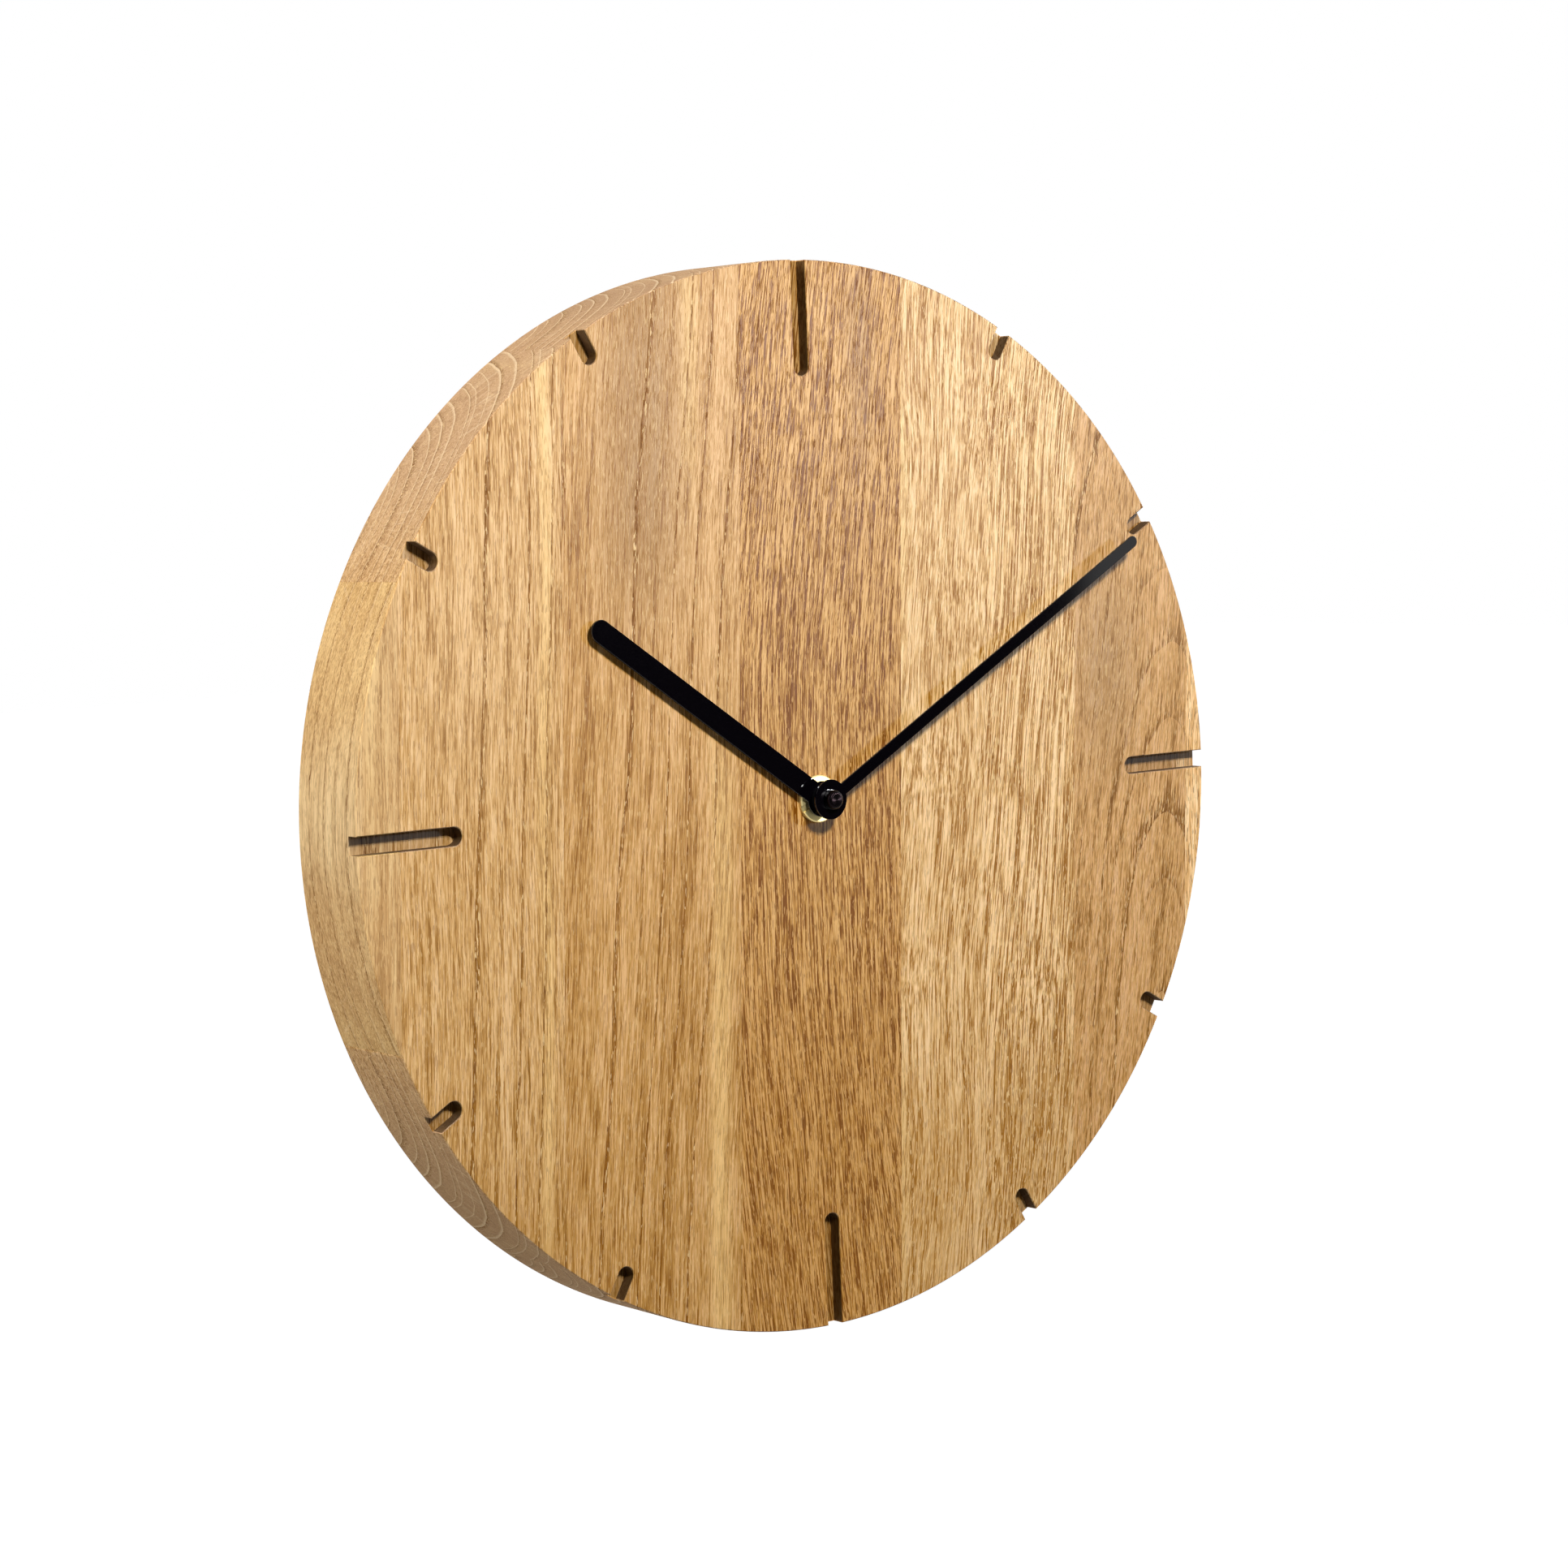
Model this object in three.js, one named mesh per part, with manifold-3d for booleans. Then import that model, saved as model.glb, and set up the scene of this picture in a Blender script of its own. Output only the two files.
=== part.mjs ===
// Wooden wall clock: a round board of glued oak staves with routed hour marks, two black hands,
// and a quartz movement in a pocket behind.
// Every piece is drawn with x to the right, y up and z out from the wall, with the hand axis at x = y = 0.
// The last lines stand the clock up, so that +Z is up and the dial faces -Y.
import * as THREE from 'three';
import { mergeVertices } from 'three/addons/utils/BufferGeometryUtils.js';
import Module from 'manifold-3d';

const wasm = await Module();
wasm.setup();

// Driving dimensions, in millimetres and degrees

// Oak board
const DISC_DIAMETER = 300;
const DISC_THICKNESS = 29;
// Places of the glue lines across the board, as shares of its radius
const STAVE_JOINTS = [-0.913, -0.573, -0.179, 0.204, 0.417, 0.649, 0.953];
const GRAIN_TILT = 2.4;
const GLUE_LINE = 0.1;

// Hour marks, routed from the rim inwards, with a long one at each quarter
const HOURS = 12;
const QUARTERS = 4;
const MARK_WIDTH = 5;
const MARK_DEPTH = 4;
const LONG_MARK = 32;
const SHORT_MARK = 9;

// Pocket for the movement, with finger room round the case, and the wood left in front of it
const POCKET_ROOM = 6;
const POCKET_CORNER = 10;
const FRONT_WALL = 6;

// Keyhole hanger plate on the back, set down from the top of the rim
const HANGER_INSET = 58;
const HANGER_LENGTH = 48;
const HANGER_WIDTH = 16;
const HANGER_THICKNESS = 1.5;
const KEYHOLE_HEAD = 9.5;
const KEYHOLE_SLOT = 5;
const KEYHOLE_TRAVEL = 14;
const KEYHOLE_DEPTH = 9;
const SCREW_INSET = 5;
const SCREW_SHANK = 3;
const SCREW_HEAD = 6;
const SCREW_LENGTH = 14;

// Movement case, built round its works and its cell, with room left beside them
const CASE_WALL = 1.2;
const TRAIN_ROOM = 1;
const COIL_ROOM = 0.5;
const COVER_ROOM = 0.7;
const CASE_CORNER = 3;
const COVER_THICKNESS = 1.2;
const BUSH_DIAMETER = 8;
const WASHER_THICKNESS = 1;
const WASHER_DIAMETER = 22;
const POST_DIAMETER = 3.2;
const PLATE_THICKNESS = 1;

// Fixing nut on the face
const NUT_DIAMETER = 13.3;
const NUT_THICKNESS = 1.3;
const NUT_SLOT_WIDTH = 2;
const NUT_SLOT_DEPTH = 0.6;
const NUT_SLOT_CLOCK_ANGLE = 247;

// Hands at ten past ten, as angles clockwise from the twelve mark, with tips set in from the rim
const HAND_GAP = 0.35;
const COLLET_GAP = 0.4;
const MINUTE_CLOCK_ANGLE = 60.3;
const HOUR_CLOCK_ANGLE = 304.9;
const HOUR_TIP_INSET = 58;
const HOUR_HAND_WIDTH = 6.3;
const HOUR_HAND_EYE = 10;
const HOUR_HAND_THICKNESS = 0.7;
const HOUR_COLLET_DIAMETER = 7.4;
const HOUR_COLLET_HEIGHT = 1.1;
const MINUTE_TIP_INSET = 12.7;
const MINUTE_HAND_WIDTH = 3.4;
const MINUTE_HAND_EYE = 11.2;
const MINUTE_HAND_THICKNESS = 0.6;
const MINUTE_COLLET_DIAMETER = 7;
const MINUTE_COLLET_HEIGHT = 1.8;
const CAP_DIAMETER = 5.5;
const CAP_HEIGHT = 2.6;
const CAP_WALL = 0.9;

// Pipes and arbors
const HOUR_PIPE_DIAMETER = 5;
const MINUTE_PIPE_DIAMETER = 3.5;
const MINUTE_THREAD_DIAMETER = 2.8;
const ARBOR_DIAMETER = 1;
const SETTING_SHAFT_DIAMETER = 2.4;
const KNOB_DIAMETER = 10;
const KNOB_HEIGHT = 3.5;
const KNOB_RIBS = 16;
const KNOB_RIB_DEPTH = 0.4;

// Gear train: tooth counts, modules and the clock-face direction of each arbor from its neighbour
const CANNON_TEETH = 15;
const MINUTE_WHEEL_TEETH = 45;
const MINUTE_PINION_TEETH = 12;
const HOUR_WHEEL_TEETH = 48;
const ROTOR_TEETH = 8;
const FIFTH_TEETH = 40;
const FOURTH_TEETH = 48;
const THIRD_TEETH = 60;
const CENTRE_TEETH = 64;
const LEAVES = 8;
const MOTION_MODULE = 0.38;
const CENTRE_MODULE = 0.29;
const FOURTH_MODULE = 0.38;
const FIFTH_MODULE = 0.38;
const MINUTE_WHEEL_DIRECTION = 10;
const THIRD_DIRECTION = 165;
const FIFTH_DIRECTION = 80;
const ROTOR_DIRECTION = 153;
const WHEEL_THICKNESS = 1;
const LEVEL_PITCH = 2;
const PRESSURE_ANGLE = 20;
const TOOTH_SHIFT = 0.35;
const ADDENDUM = 0.75;
const ROOT_DEPTH = 1.1;
const TOOTH_THINNING = 0.07;

// Step motor
const MAGNET_DIAMETER = 5.8;
const MAGNET_HEIGHT = 1.8;
const STATOR_THICKNESS = 0.8;
const STATOR_RING = 1.3;
const STATOR_ARM = 4;
const COIL_LENGTH = 20;
const COIL_RISE = 8.4;
const COIL_DIAMETER = 6.2;
const BOBBIN_TUBE = 4.4;
const BOBBIN_FLANGE = 1;
const CORE_WIDTH = 2.6;
const CORE_THICKNESS = 0.8;

// Electrics
const CELL_DIAMETER = 14.2;
const CELL_LENGTH = 50.5;
const CELL_SLACK = 1;
const CELL_NUB_DIAMETER = 5.4;
const CELL_NUB_LENGTH = 1.5;
const CONTACT_THICKNESS = 0.4;
const CONTACT_WIDTH = 9;
const CONTACT_BULGE = 0.5;
const CONTACT_TAIL = 1.6;
const BOARD_WIDTH = 5.2;
const BOARD_LENGTH = 33;
const BOARD_THICKNESS = 0.8;
const CRYSTAL_DIAMETER = 2;
const CRYSTAL_LENGTH = 6;
const CHIP_DIAMETER = 3.6;
const CHIP_HEIGHT = 0.9;

// Clearances: a seat that two flat faces share, a running fit, and an easy fit
const SEAT = 0.05;
const RUNNING = 0.1;
const EASY = 0.3;

// How far a cutting tool runs past the face that it cuts
const OVERCUT = 1;

// Facets on a full circle of each kind
const DISC_FACETS = 144;
const ROUND_FACETS = 28;
const SMALL_FACETS = 12;
const CORNER_FACETS = 4;
const WELD = 1e-5;

// Depths, measured out from the wall
const face = DISC_THICKNESS;
const pocketFloor = face - FRONT_WALL;
const caseFront = pocketFloor - WASHER_THICKNESS;
const worksFront = caseFront - CASE_WALL;
const hourLevel = worksFront - EASY - WHEEL_THICKNESS;
const minuteLevel = hourLevel - LEVEL_PITCH;
const centreLevel = minuteLevel - LEVEL_PITCH;
const thirdLevel = centreLevel - LEVEL_PITCH;
const fourthLevel = thirdLevel - LEVEL_PITCH;
const fifthLevel = fourthLevel - LEVEL_PITCH;
const plateFront = fifthLevel - 2 * EASY;
const plateBack = plateFront - PLATE_THICKNESS;
const coverFront = plateBack - COVER_ROOM;
const caseBack = coverFront - COVER_THICKNESS;
const pivotFront = worksFront + CASE_WALL / 2;
const nutFront = face + SEAT + NUT_THICKNESS;
const hourHandBack = nutFront + HAND_GAP;
const hourHandFront = hourHandBack + HOUR_HAND_THICKNESS;
const hourColletFront = hourHandFront + SEAT + HOUR_COLLET_HEIGHT;
const minuteColletBack = hourColletFront + COLLET_GAP;
const minuteHandBack = minuteColletBack + MINUTE_COLLET_HEIGHT + SEAT;
const minuteHandFront = minuteHandBack + MINUTE_HAND_THICKNESS;

// Angles and small vector helpers
const radians = (degrees) => degrees * Math.PI / 180;
const clockToPlane = (degrees) => radians(90 - degrees);
const polar = (radius, angle) => new THREE.Vector2(radius * Math.cos(angle), radius * Math.sin(angle));
const origin = new THREE.Vector2(0, 0);

// Outlines: lists of points that run counter-clockwise

function arc(centre, radius, from, to, steps) {
  return Array.from({ length: steps + 1 }, (_, i) =>
    polar(radius, from + (to - from) * i / steps).add(centre));
}

function circle(radius, centre = origin, facets = ROUND_FACETS) {
  return arc(centre, radius, 0, 2 * Math.PI, facets).slice(0, facets);
}

function rectangle(left, bottom, right, top) {
  return [[left, bottom], [right, bottom], [right, top], [left, top]].map((p) => new THREE.Vector2(...p));
}

function roundedRectangle(left, bottom, right, top, corner) {
  const centres = [
    [right - corner, top - corner],
    [left + corner, top - corner],
    [left + corner, bottom + corner],
    [right - corner, bottom + corner],
  ];
  return centres.flatMap(([x, y], i) =>
    arc(new THREE.Vector2(x, y), corner, i * Math.PI / 2, (i + 1) * Math.PI / 2, CORNER_FACETS));
}

// A straight strip with round ends, between two points
function strip(start, end, width) {
  const angle = end.clone().sub(start).angle();
  const turn = Math.PI / 2;
  return [
    ...arc(end, width / 2, angle - turn, angle + turn, 2 * CORNER_FACETS),
    ...arc(start, width / 2, angle + turn, angle + 3 * turn, 2 * CORNER_FACETS),
  ];
}

// Solids

function solid(geometry) {
  geometry.deleteAttribute('normal');
  geometry.deleteAttribute('uv');
  const merged = mergeVertices(geometry, WELD);
  const index = merged.index.array;
  const triVerts = [];
  for (let i = 0; i < index.length; i += 3) {
    const [a, b, c] = index.slice(i, i + 3);
    if (a !== b && b !== c && c !== a) triVerts.push(a, b, c);
  }
  return new wasm.Manifold(new wasm.Mesh({
    numProp: 3,
    vertProperties: new Float32Array(merged.attributes.position.array),
    triVerts: new Uint32Array(triVerts),
  }));
}

function prism(points, from, to, holes = []) {
  const shape = new THREE.Shape(points);
  shape.holes = holes.map((hole) => new THREE.Path(hole));
  const geometry = new THREE.ExtrudeGeometry(shape, { depth: to - from, bevelEnabled: false, steps: 1 });
  return solid(geometry.translate(0, 0, from));
}

function rod(diameter, from, to, centre = origin, facets = SMALL_FACETS) {
  return prism(circle(diameter / 2, centre, facets), from, to);
}

function block(left, bottom, right, top, from, to) {
  return prism(rectangle(left, bottom, right, top), from, to);
}

// A turned shape about the z axis: profile points are radius and height, counter-clockwise
function lathe(profile, facets) {
  const points = profile.map(([radius, height]) => new THREE.Vector2(radius, height));
  return new THREE.LatheGeometry(points, facets).rotateX(Math.PI / 2);
}

function turned(profile, centre = origin, facets = ROUND_FACETS) {
  return solid(lathe(profile, facets).translate(centre.x, centre.y, 0));
}

function ring(outer, inner, from, to, centre = origin, facets = ROUND_FACETS) {
  return prism(circle(outer / 2, centre, facets), from, to, [circle(inner / 2, centre, facets)]);
}

const join = (...solids) => solids.reduce((whole, piece) => whole.add(piece));
const cut = (whole, ...tools) => tools.reduce((rest, tool) => rest.subtract(tool), whole);

// Spur gears with involute flanks: a pinion has longer and thicker teeth than the wheel that it drives

const involute = (angle) => Math.tan(angle) - angle;

function gear(teeth, module, phase, centre, isPinion) {
  const pressure = radians(PRESSURE_ANGLE);
  const shift = isPinion ? TOOTH_SHIFT : -TOOTH_SHIFT;
  const pitch = teeth * module / 2;
  const base = pitch * Math.cos(pressure);
  const tip = pitch + module * (ADDENDUM + shift);
  const root = pitch - module * (ROOT_DEPTH - shift);
  const toothWidth = module * (Math.PI / 2 + 2 * shift * Math.tan(pressure)) - TOOTH_THINNING;
  const halfAtBase = toothWidth / (2 * pitch) + involute(pressure);
  const halfAt = (radius) => halfAtBase - involute(Math.acos(Math.min(1, base / radius)));
  const radii = isPinion ? [root, pitch, tip] : [root, tip];
  const right = radii.map((radius) => [radius, -halfAt(radius)]);
  const left = radii.map((radius) => [radius, halfAt(radius)]).reverse();
  const points = [];
  for (let i = 0; i < teeth; i += 1) {
    const middle = phase + 2 * Math.PI * i / teeth;
    for (const [radius, angle] of [...right, ...left]) {
      points.push(polar(radius, middle + angle).add(centre));
    }
  }
  return points;
}

// Phase of a gear that meshes with one of known phase, in the direction given
function meshPhase(driverTeeth, driverPhase, teeth, direction) {
  return direction + Math.PI + (driverTeeth * (direction - driverPhase) - Math.PI) / teeth;
}

const centreDistance = (wheel, pinion, module) => module * (wheel + pinion) / 2;
const wheelTip = (teeth, module) => module * (teeth / 2 + ADDENDUM - TOOTH_SHIFT);

// Places of the arbors
const minuteWheelDirection = radians(MINUTE_WHEEL_DIRECTION);
const thirdDirection = radians(THIRD_DIRECTION);
const fifthDirection = radians(FIFTH_DIRECTION);
const rotorDirection = radians(ROTOR_DIRECTION);
const thirdDistance = centreDistance(CENTRE_TEETH, LEAVES, CENTRE_MODULE);
const thirdModule = 2 * thirdDistance / (THIRD_TEETH + LEAVES);
const minuteDistance = centreDistance(MINUTE_WHEEL_TEETH, CANNON_TEETH, MOTION_MODULE);
const hourModule = 2 * minuteDistance / (HOUR_WHEEL_TEETH + MINUTE_PINION_TEETH);
const fifthDistance = centreDistance(FOURTH_TEETH, LEAVES, FOURTH_MODULE);
const rotorDistance = centreDistance(FIFTH_TEETH, ROTOR_TEETH, FIFTH_MODULE);
const minuteAxis = polar(minuteDistance, minuteWheelDirection);
const thirdAxis = polar(thirdDistance, thirdDirection);
const fifthAxis = polar(fifthDistance, fifthDirection);
const rotorAxis = polar(rotorDistance, rotorDirection).add(fifthAxis);

// Inside of the case: the works above, as wide as the cell with its contacts, and the cell bay below
const contactRoom = RUNNING + CONTACT_THICKNESS + CONTACT_BULGE;
const worksHalf = (CELL_LENGTH + CELL_SLACK + RUNNING) / 2 + contactRoom;
const caseHalf = worksHalf + CASE_WALL;
const widestWheel = Math.max(
  wheelTip(CENTRE_TEETH, CENTRE_MODULE),
  wheelTip(FOURTH_TEETH, FOURTH_MODULE),
  wheelTip(HOUR_WHEEL_TEETH, hourModule),
);
const worksBottom = -widestWheel - TRAIN_ROOM;
const bayTop = worksBottom - CASE_WALL;
const bayBottom = bayTop - CELL_DIAMETER - 2 * EASY - CONTACT_THICKNESS;
const caseBottom = bayBottom - CASE_WALL;
const coilHeight = rotorAxis.y + COIL_RISE;
const worksTop = coilHeight + (COIL_DIAMETER + EASY) / 2 + COIL_ROOM;
const caseTop = worksTop + CASE_WALL;
const cellCentre = bayBottom + SEAT + CELL_DIAMETER / 2;
const cellDepth = worksFront - EASY - CELL_DIAMETER / 2;
const postHalf = POST_DIAMETER / 2;
const boardRight = worksHalf - CONTACT_THICKNESS - 2 * RUNNING;
const boardLeft = boardRight - BOARD_WIDTH;
const boardBottom = worksBottom + 2 * EASY;
const boardFront = worksFront - SEAT;
const boardBack = boardFront - BOARD_THICKNESS;
const tailBack = worksFront - RUNNING - CONTACT_THICKNESS;
const minusTailLeft = boardLeft + CONTACT_TAIL;

// Posts that carry the train plate, in the corners that the wheels leave free
const platePosts = [
  [-worksHalf + postHalf + EASY, worksBottom + postHalf + EASY],
  [boardLeft - EASY - postHalf, worksBottom + postHalf + EASY],
  [-worksHalf + postHalf + EASY, rotorAxis.y],
  [boardLeft - EASY - postHalf, rotorAxis.y],
].map((p) => new THREE.Vector2(...p));

// Stator: a bar round the rotor with an arm up to each end of the coil core
const statorHole = MAGNET_DIAMETER / 2 + EASY;
const magnetBack = fifthLevel + WHEEL_THICKNESS + 2 * EASY;
const rotorEnd = magnetBack + 2 * MAGNET_HEIGHT - EASY;
const statorBack = magnetBack + (MAGNET_HEIGHT - STATOR_THICKNESS) / 2;
const statorFront = statorBack + STATOR_THICKNESS;
const statorHalf = COIL_LENGTH / 2 + EASY + STATOR_ARM;
const statorLeft = rotorAxis.x - statorHalf;
const statorRight = rotorAxis.x + statorHalf;
const coreBack = statorFront + SEAT;
const coilDepth = coreBack + CORE_THICKNESS / 2;
const statorPosts = [statorLeft, statorRight].map((x, i) =>
  new THREE.Vector2(x + (i === 0 ? 1 : -1) * STATOR_ARM / 2, rotorAxis.y));

// Wood

const discRadius = DISC_DIAMETER / 2;
const hangerHeight = discRadius - HANGER_INSET;

function hourMarks() {
  return Array.from({ length: HOURS }, (_, hour) => {
    const length = hour % (HOURS / QUARTERS) === 0 ? LONG_MARK : SHORT_MARK;
    const angle = clockToPlane(360 * hour / HOURS);
    const inner = polar(discRadius - length + MARK_WIDTH / 2, angle);
    const outer = polar(discRadius + MARK_WIDTH, angle);
    return prism(strip(inner, outer, MARK_WIDTH), face - MARK_DEPTH, face + OVERCUT);
  });
}

function screwPlaces() {
  const reach = HANGER_LENGTH / 2 - SCREW_INSET;
  return [reach, -reach].map((rise) => new THREE.Vector2(0, hangerHeight + rise));
}

function hangerOutline(growth) {
  const reach = (HANGER_LENGTH - HANGER_WIDTH) / 2;
  const low = new THREE.Vector2(0, hangerHeight - reach);
  const high = new THREE.Vector2(0, hangerHeight + reach);
  return strip(low, high, HANGER_WIDTH + 2 * growth);
}

const keyholeLow = new THREE.Vector2(0, hangerHeight - KEYHOLE_TRAVEL / 2);
const keyholeHigh = new THREE.Vector2(0, hangerHeight + KEYHOLE_TRAVEL / 2);

function hangerRecess() {
  const seat = prism(hangerOutline(EASY), -OVERCUT, HANGER_THICKNESS + SEAT);
  const headRun = strip(keyholeLow, keyholeHigh, KEYHOLE_HEAD + 2 * EASY);
  const headSpace = prism(headRun, -OVERCUT, HANGER_THICKNESS + KEYHOLE_DEPTH);
  const pilots = screwPlaces().map((spot) =>
    rod(SCREW_SHANK + 2 * RUNNING, -OVERCUT, SCREW_LENGTH + EASY, spot));
  return join(seat, headSpace, ...pilots);
}

function board() {
  const half = caseHalf + POCKET_ROOM;
  const outline = roundedRectangle(-half, caseBottom - POCKET_ROOM, half, caseTop + POCKET_ROOM,
    POCKET_CORNER);
  const pocket = prism(outline, -OVERCUT, pocketFloor);
  const shaftHole = rod(BUSH_DIAMETER + 2 * EASY, pocketFloor - OVERCUT, face + OVERCUT, origin,
    ROUND_FACETS);
  const blank = prism(circle(discRadius, origin, DISC_FACETS), 0, face);
  return cut(blank, pocket, shaftHole, hangerRecess(), ...hourMarks());
}

// Each stave is the board between two glue lines that follow the grain
function staves() {
  const glueLines = STAVE_JOINTS.map((share) => share * discRadius);
  const edges = [-discRadius - OVERCUT, ...glueLines, discRadius + OVERCUT];
  const whole = board();
  const across = polar(1, -radians(GRAIN_TILT));
  const along = polar(1, Math.PI / 2 - radians(GRAIN_TILT));
  const corner = (x, y) => across.clone().multiplyScalar(x).add(along.clone().multiplyScalar(y));
  return edges.slice(1).map((right, i) => {
    const low = edges[i] + GLUE_LINE / 2;
    const high = right - GLUE_LINE / 2;
    const slab = [
      corner(low, -DISC_DIAMETER),
      corner(high, -DISC_DIAMETER),
      corner(high, DISC_DIAMETER),
      corner(low, DISC_DIAMETER),
    ];
    return whole.intersect(prism(slab, -OVERCUT, face + OVERCUT));
  });
}

// Hanger

function hangerPlate() {
  const plate = prism(hangerOutline(0), SEAT, HANGER_THICKNESS);
  const head = rod(KEYHOLE_HEAD, -OVERCUT, HANGER_THICKNESS + OVERCUT, keyholeLow, ROUND_FACETS);
  const slot = prism(strip(keyholeLow, keyholeHigh, KEYHOLE_SLOT), -OVERCUT, HANGER_THICKNESS + OVERCUT);
  const sinks = screwPlaces().map((spot) => turned([
    [0, -OVERCUT],
    [SCREW_HEAD / 2 + RUNNING, -OVERCUT],
    [SCREW_HEAD / 2 + RUNNING, SEAT],
    [SCREW_SHANK / 2 + RUNNING, HANGER_THICKNESS],
    [SCREW_SHANK / 2 + RUNNING, HANGER_THICKNESS + OVERCUT],
    [0, HANGER_THICKNESS + OVERCUT],
  ], spot, SMALL_FACETS));
  return cut(plate, head, slot, ...sinks);
}

function hangerScrew(spot) {
  return turned([
    [0, SEAT],
    [SCREW_HEAD / 2, SEAT],
    [SCREW_SHANK / 2, HANGER_THICKNESS],
    [SCREW_SHANK / 2, SCREW_LENGTH - SCREW_SHANK],
    [0, SCREW_LENGTH],
  ], spot, SMALL_FACETS);
}

// Movement case

function movementCase() {
  const outline = roundedRectangle(-caseHalf, caseBottom, caseHalf, caseTop, CASE_CORNER);
  const shell = prism(outline, caseBack, caseFront);
  const works = block(-worksHalf, worksBottom, worksHalf, worksTop, caseBack - OVERCUT, worksFront);
  const bay = block(-worksHalf, bayBottom, worksHalf, bayTop, caseBack - OVERCUT, worksFront);
  const coverSeat = block(-caseHalf - OVERCUT, bayTop - RUNNING, caseHalf + OVERCUT, caseTop + OVERCUT,
    caseBack - OVERCUT, coverFront + SEAT);
  const minusNotch = block(minusTailLeft - RUNNING, bayTop - OVERCUT,
    minusTailLeft + CONTACT_TAIL + RUNNING, worksBottom + OVERCUT, tailBack - RUNNING, worksFront);
  const plusNotch = block(boardRight, bayTop - OVERCUT, worksHalf, worksBottom + OVERCUT,
    tailBack - CONTACT_TAIL - RUNNING, worksFront);
  const bush = rod(BUSH_DIAMETER, worksFront, nutFront - SEAT, origin, ROUND_FACETS);
  const posts = platePosts.map((spot) =>
    rod(POST_DIAMETER, plateFront + SEAT, worksFront + SEAT, spot));
  const statorSeats = statorPosts.map((spot) =>
    rod(POST_DIAMETER, statorFront + SEAT, worksFront + SEAT, spot));
  const rotorPost = rod(POST_DIAMETER, magnetBack + MAGNET_HEIGHT + EASY, worksFront + SEAT, rotorAxis);
  const pipeBore = rod(HOUR_PIPE_DIAMETER + 2 * RUNNING, 0, nutFront + OVERCUT, origin, ROUND_FACETS);
  const pivots = [thirdAxis, fifthAxis, minuteAxis].map((axis) =>
    rod(ARBOR_DIAMETER + 2 * RUNNING, worksFront - OVERCUT, pivotFront + RUNNING, axis));
  const rotorPivot = rod(ARBOR_DIAMETER + 2 * RUNNING, magnetBack, rotorEnd + EASY, rotorAxis);
  const hollow = cut(shell, works, bay, coverSeat, minusNotch, plusNotch);
  return cut(join(hollow, bush, ...posts, ...statorSeats, rotorPost), pipeBore, rotorPivot, ...pivots);
}

function movementCover() {
  const outline = roundedRectangle(-caseHalf, bayTop, caseHalf, caseTop, CASE_CORNER);
  const shaftHole = circle(SETTING_SHAFT_DIAMETER / 2 + EASY, minuteAxis, SMALL_FACETS);
  return prism(outline, caseBack, coverFront, [shaftHole]);
}

function trainPlate() {
  const left = -worksHalf + EASY;
  const top = rotorAxis.y + POST_DIAMETER;
  const bores = [origin, thirdAxis, fifthAxis, rotorAxis].map((axis) =>
    circle(ARBOR_DIAMETER / 2 + RUNNING, axis, SMALL_FACETS));
  const shaftHole = circle(SETTING_SHAFT_DIAMETER / 2 + EASY, minuteAxis, SMALL_FACETS);
  const outline = roundedRectangle(left, worksBottom + EASY, boardLeft, top, CASE_CORNER);
  return prism(outline, plateBack, plateFront, [...bores, shaftHole]);
}

function rubberWasher() {
  return ring(WASHER_DIAMETER, BUSH_DIAMETER + 2 * RUNNING, caseFront + SEAT, pocketFloor - SEAT);
}

function fixingNut() {
  const body = ring(NUT_DIAMETER, BUSH_DIAMETER + 2 * RUNNING, face + SEAT, nutFront);
  const end = polar(NUT_DIAMETER, clockToPlane(NUT_SLOT_CLOCK_ANGLE));
  const slot = strip(end, end.clone().negate(), NUT_SLOT_WIDTH);
  return cut(body, prism(slot, nutFront - NUT_SLOT_DEPTH, nutFront + OVERCUT));
}

// Hands

function hand(clockAngle, tipInset, width, eye, bore, back, front) {
  const tip = polar(discRadius - tipInset - width / 2, clockToPlane(clockAngle));
  const baton = prism(strip(origin, tip, width), back, front);
  const disc = rod(eye, back, front, origin, ROUND_FACETS);
  return cut(join(baton, disc), rod(bore, back - OVERCUT, front + OVERCUT, origin, ROUND_FACETS));
}

function hourHand() {
  const bore = HOUR_PIPE_DIAMETER + RUNNING;
  return hand(HOUR_CLOCK_ANGLE, HOUR_TIP_INSET, HOUR_HAND_WIDTH, HOUR_HAND_EYE, bore,
    hourHandBack, hourHandFront);
}

function hourCollet() {
  return ring(HOUR_COLLET_DIAMETER, HOUR_PIPE_DIAMETER + RUNNING, hourHandFront + SEAT, hourColletFront);
}

function minuteHand() {
  const bore = MINUTE_THREAD_DIAMETER + RUNNING;
  return hand(MINUTE_CLOCK_ANGLE, MINUTE_TIP_INSET, MINUTE_HAND_WIDTH, MINUTE_HAND_EYE, bore,
    minuteHandBack, minuteHandFront);
}

function minuteCollet() {
  return ring(MINUTE_COLLET_DIAMETER, MINUTE_PIPE_DIAMETER + RUNNING, minuteColletBack,
    minuteHandBack - SEAT);
}

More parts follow.
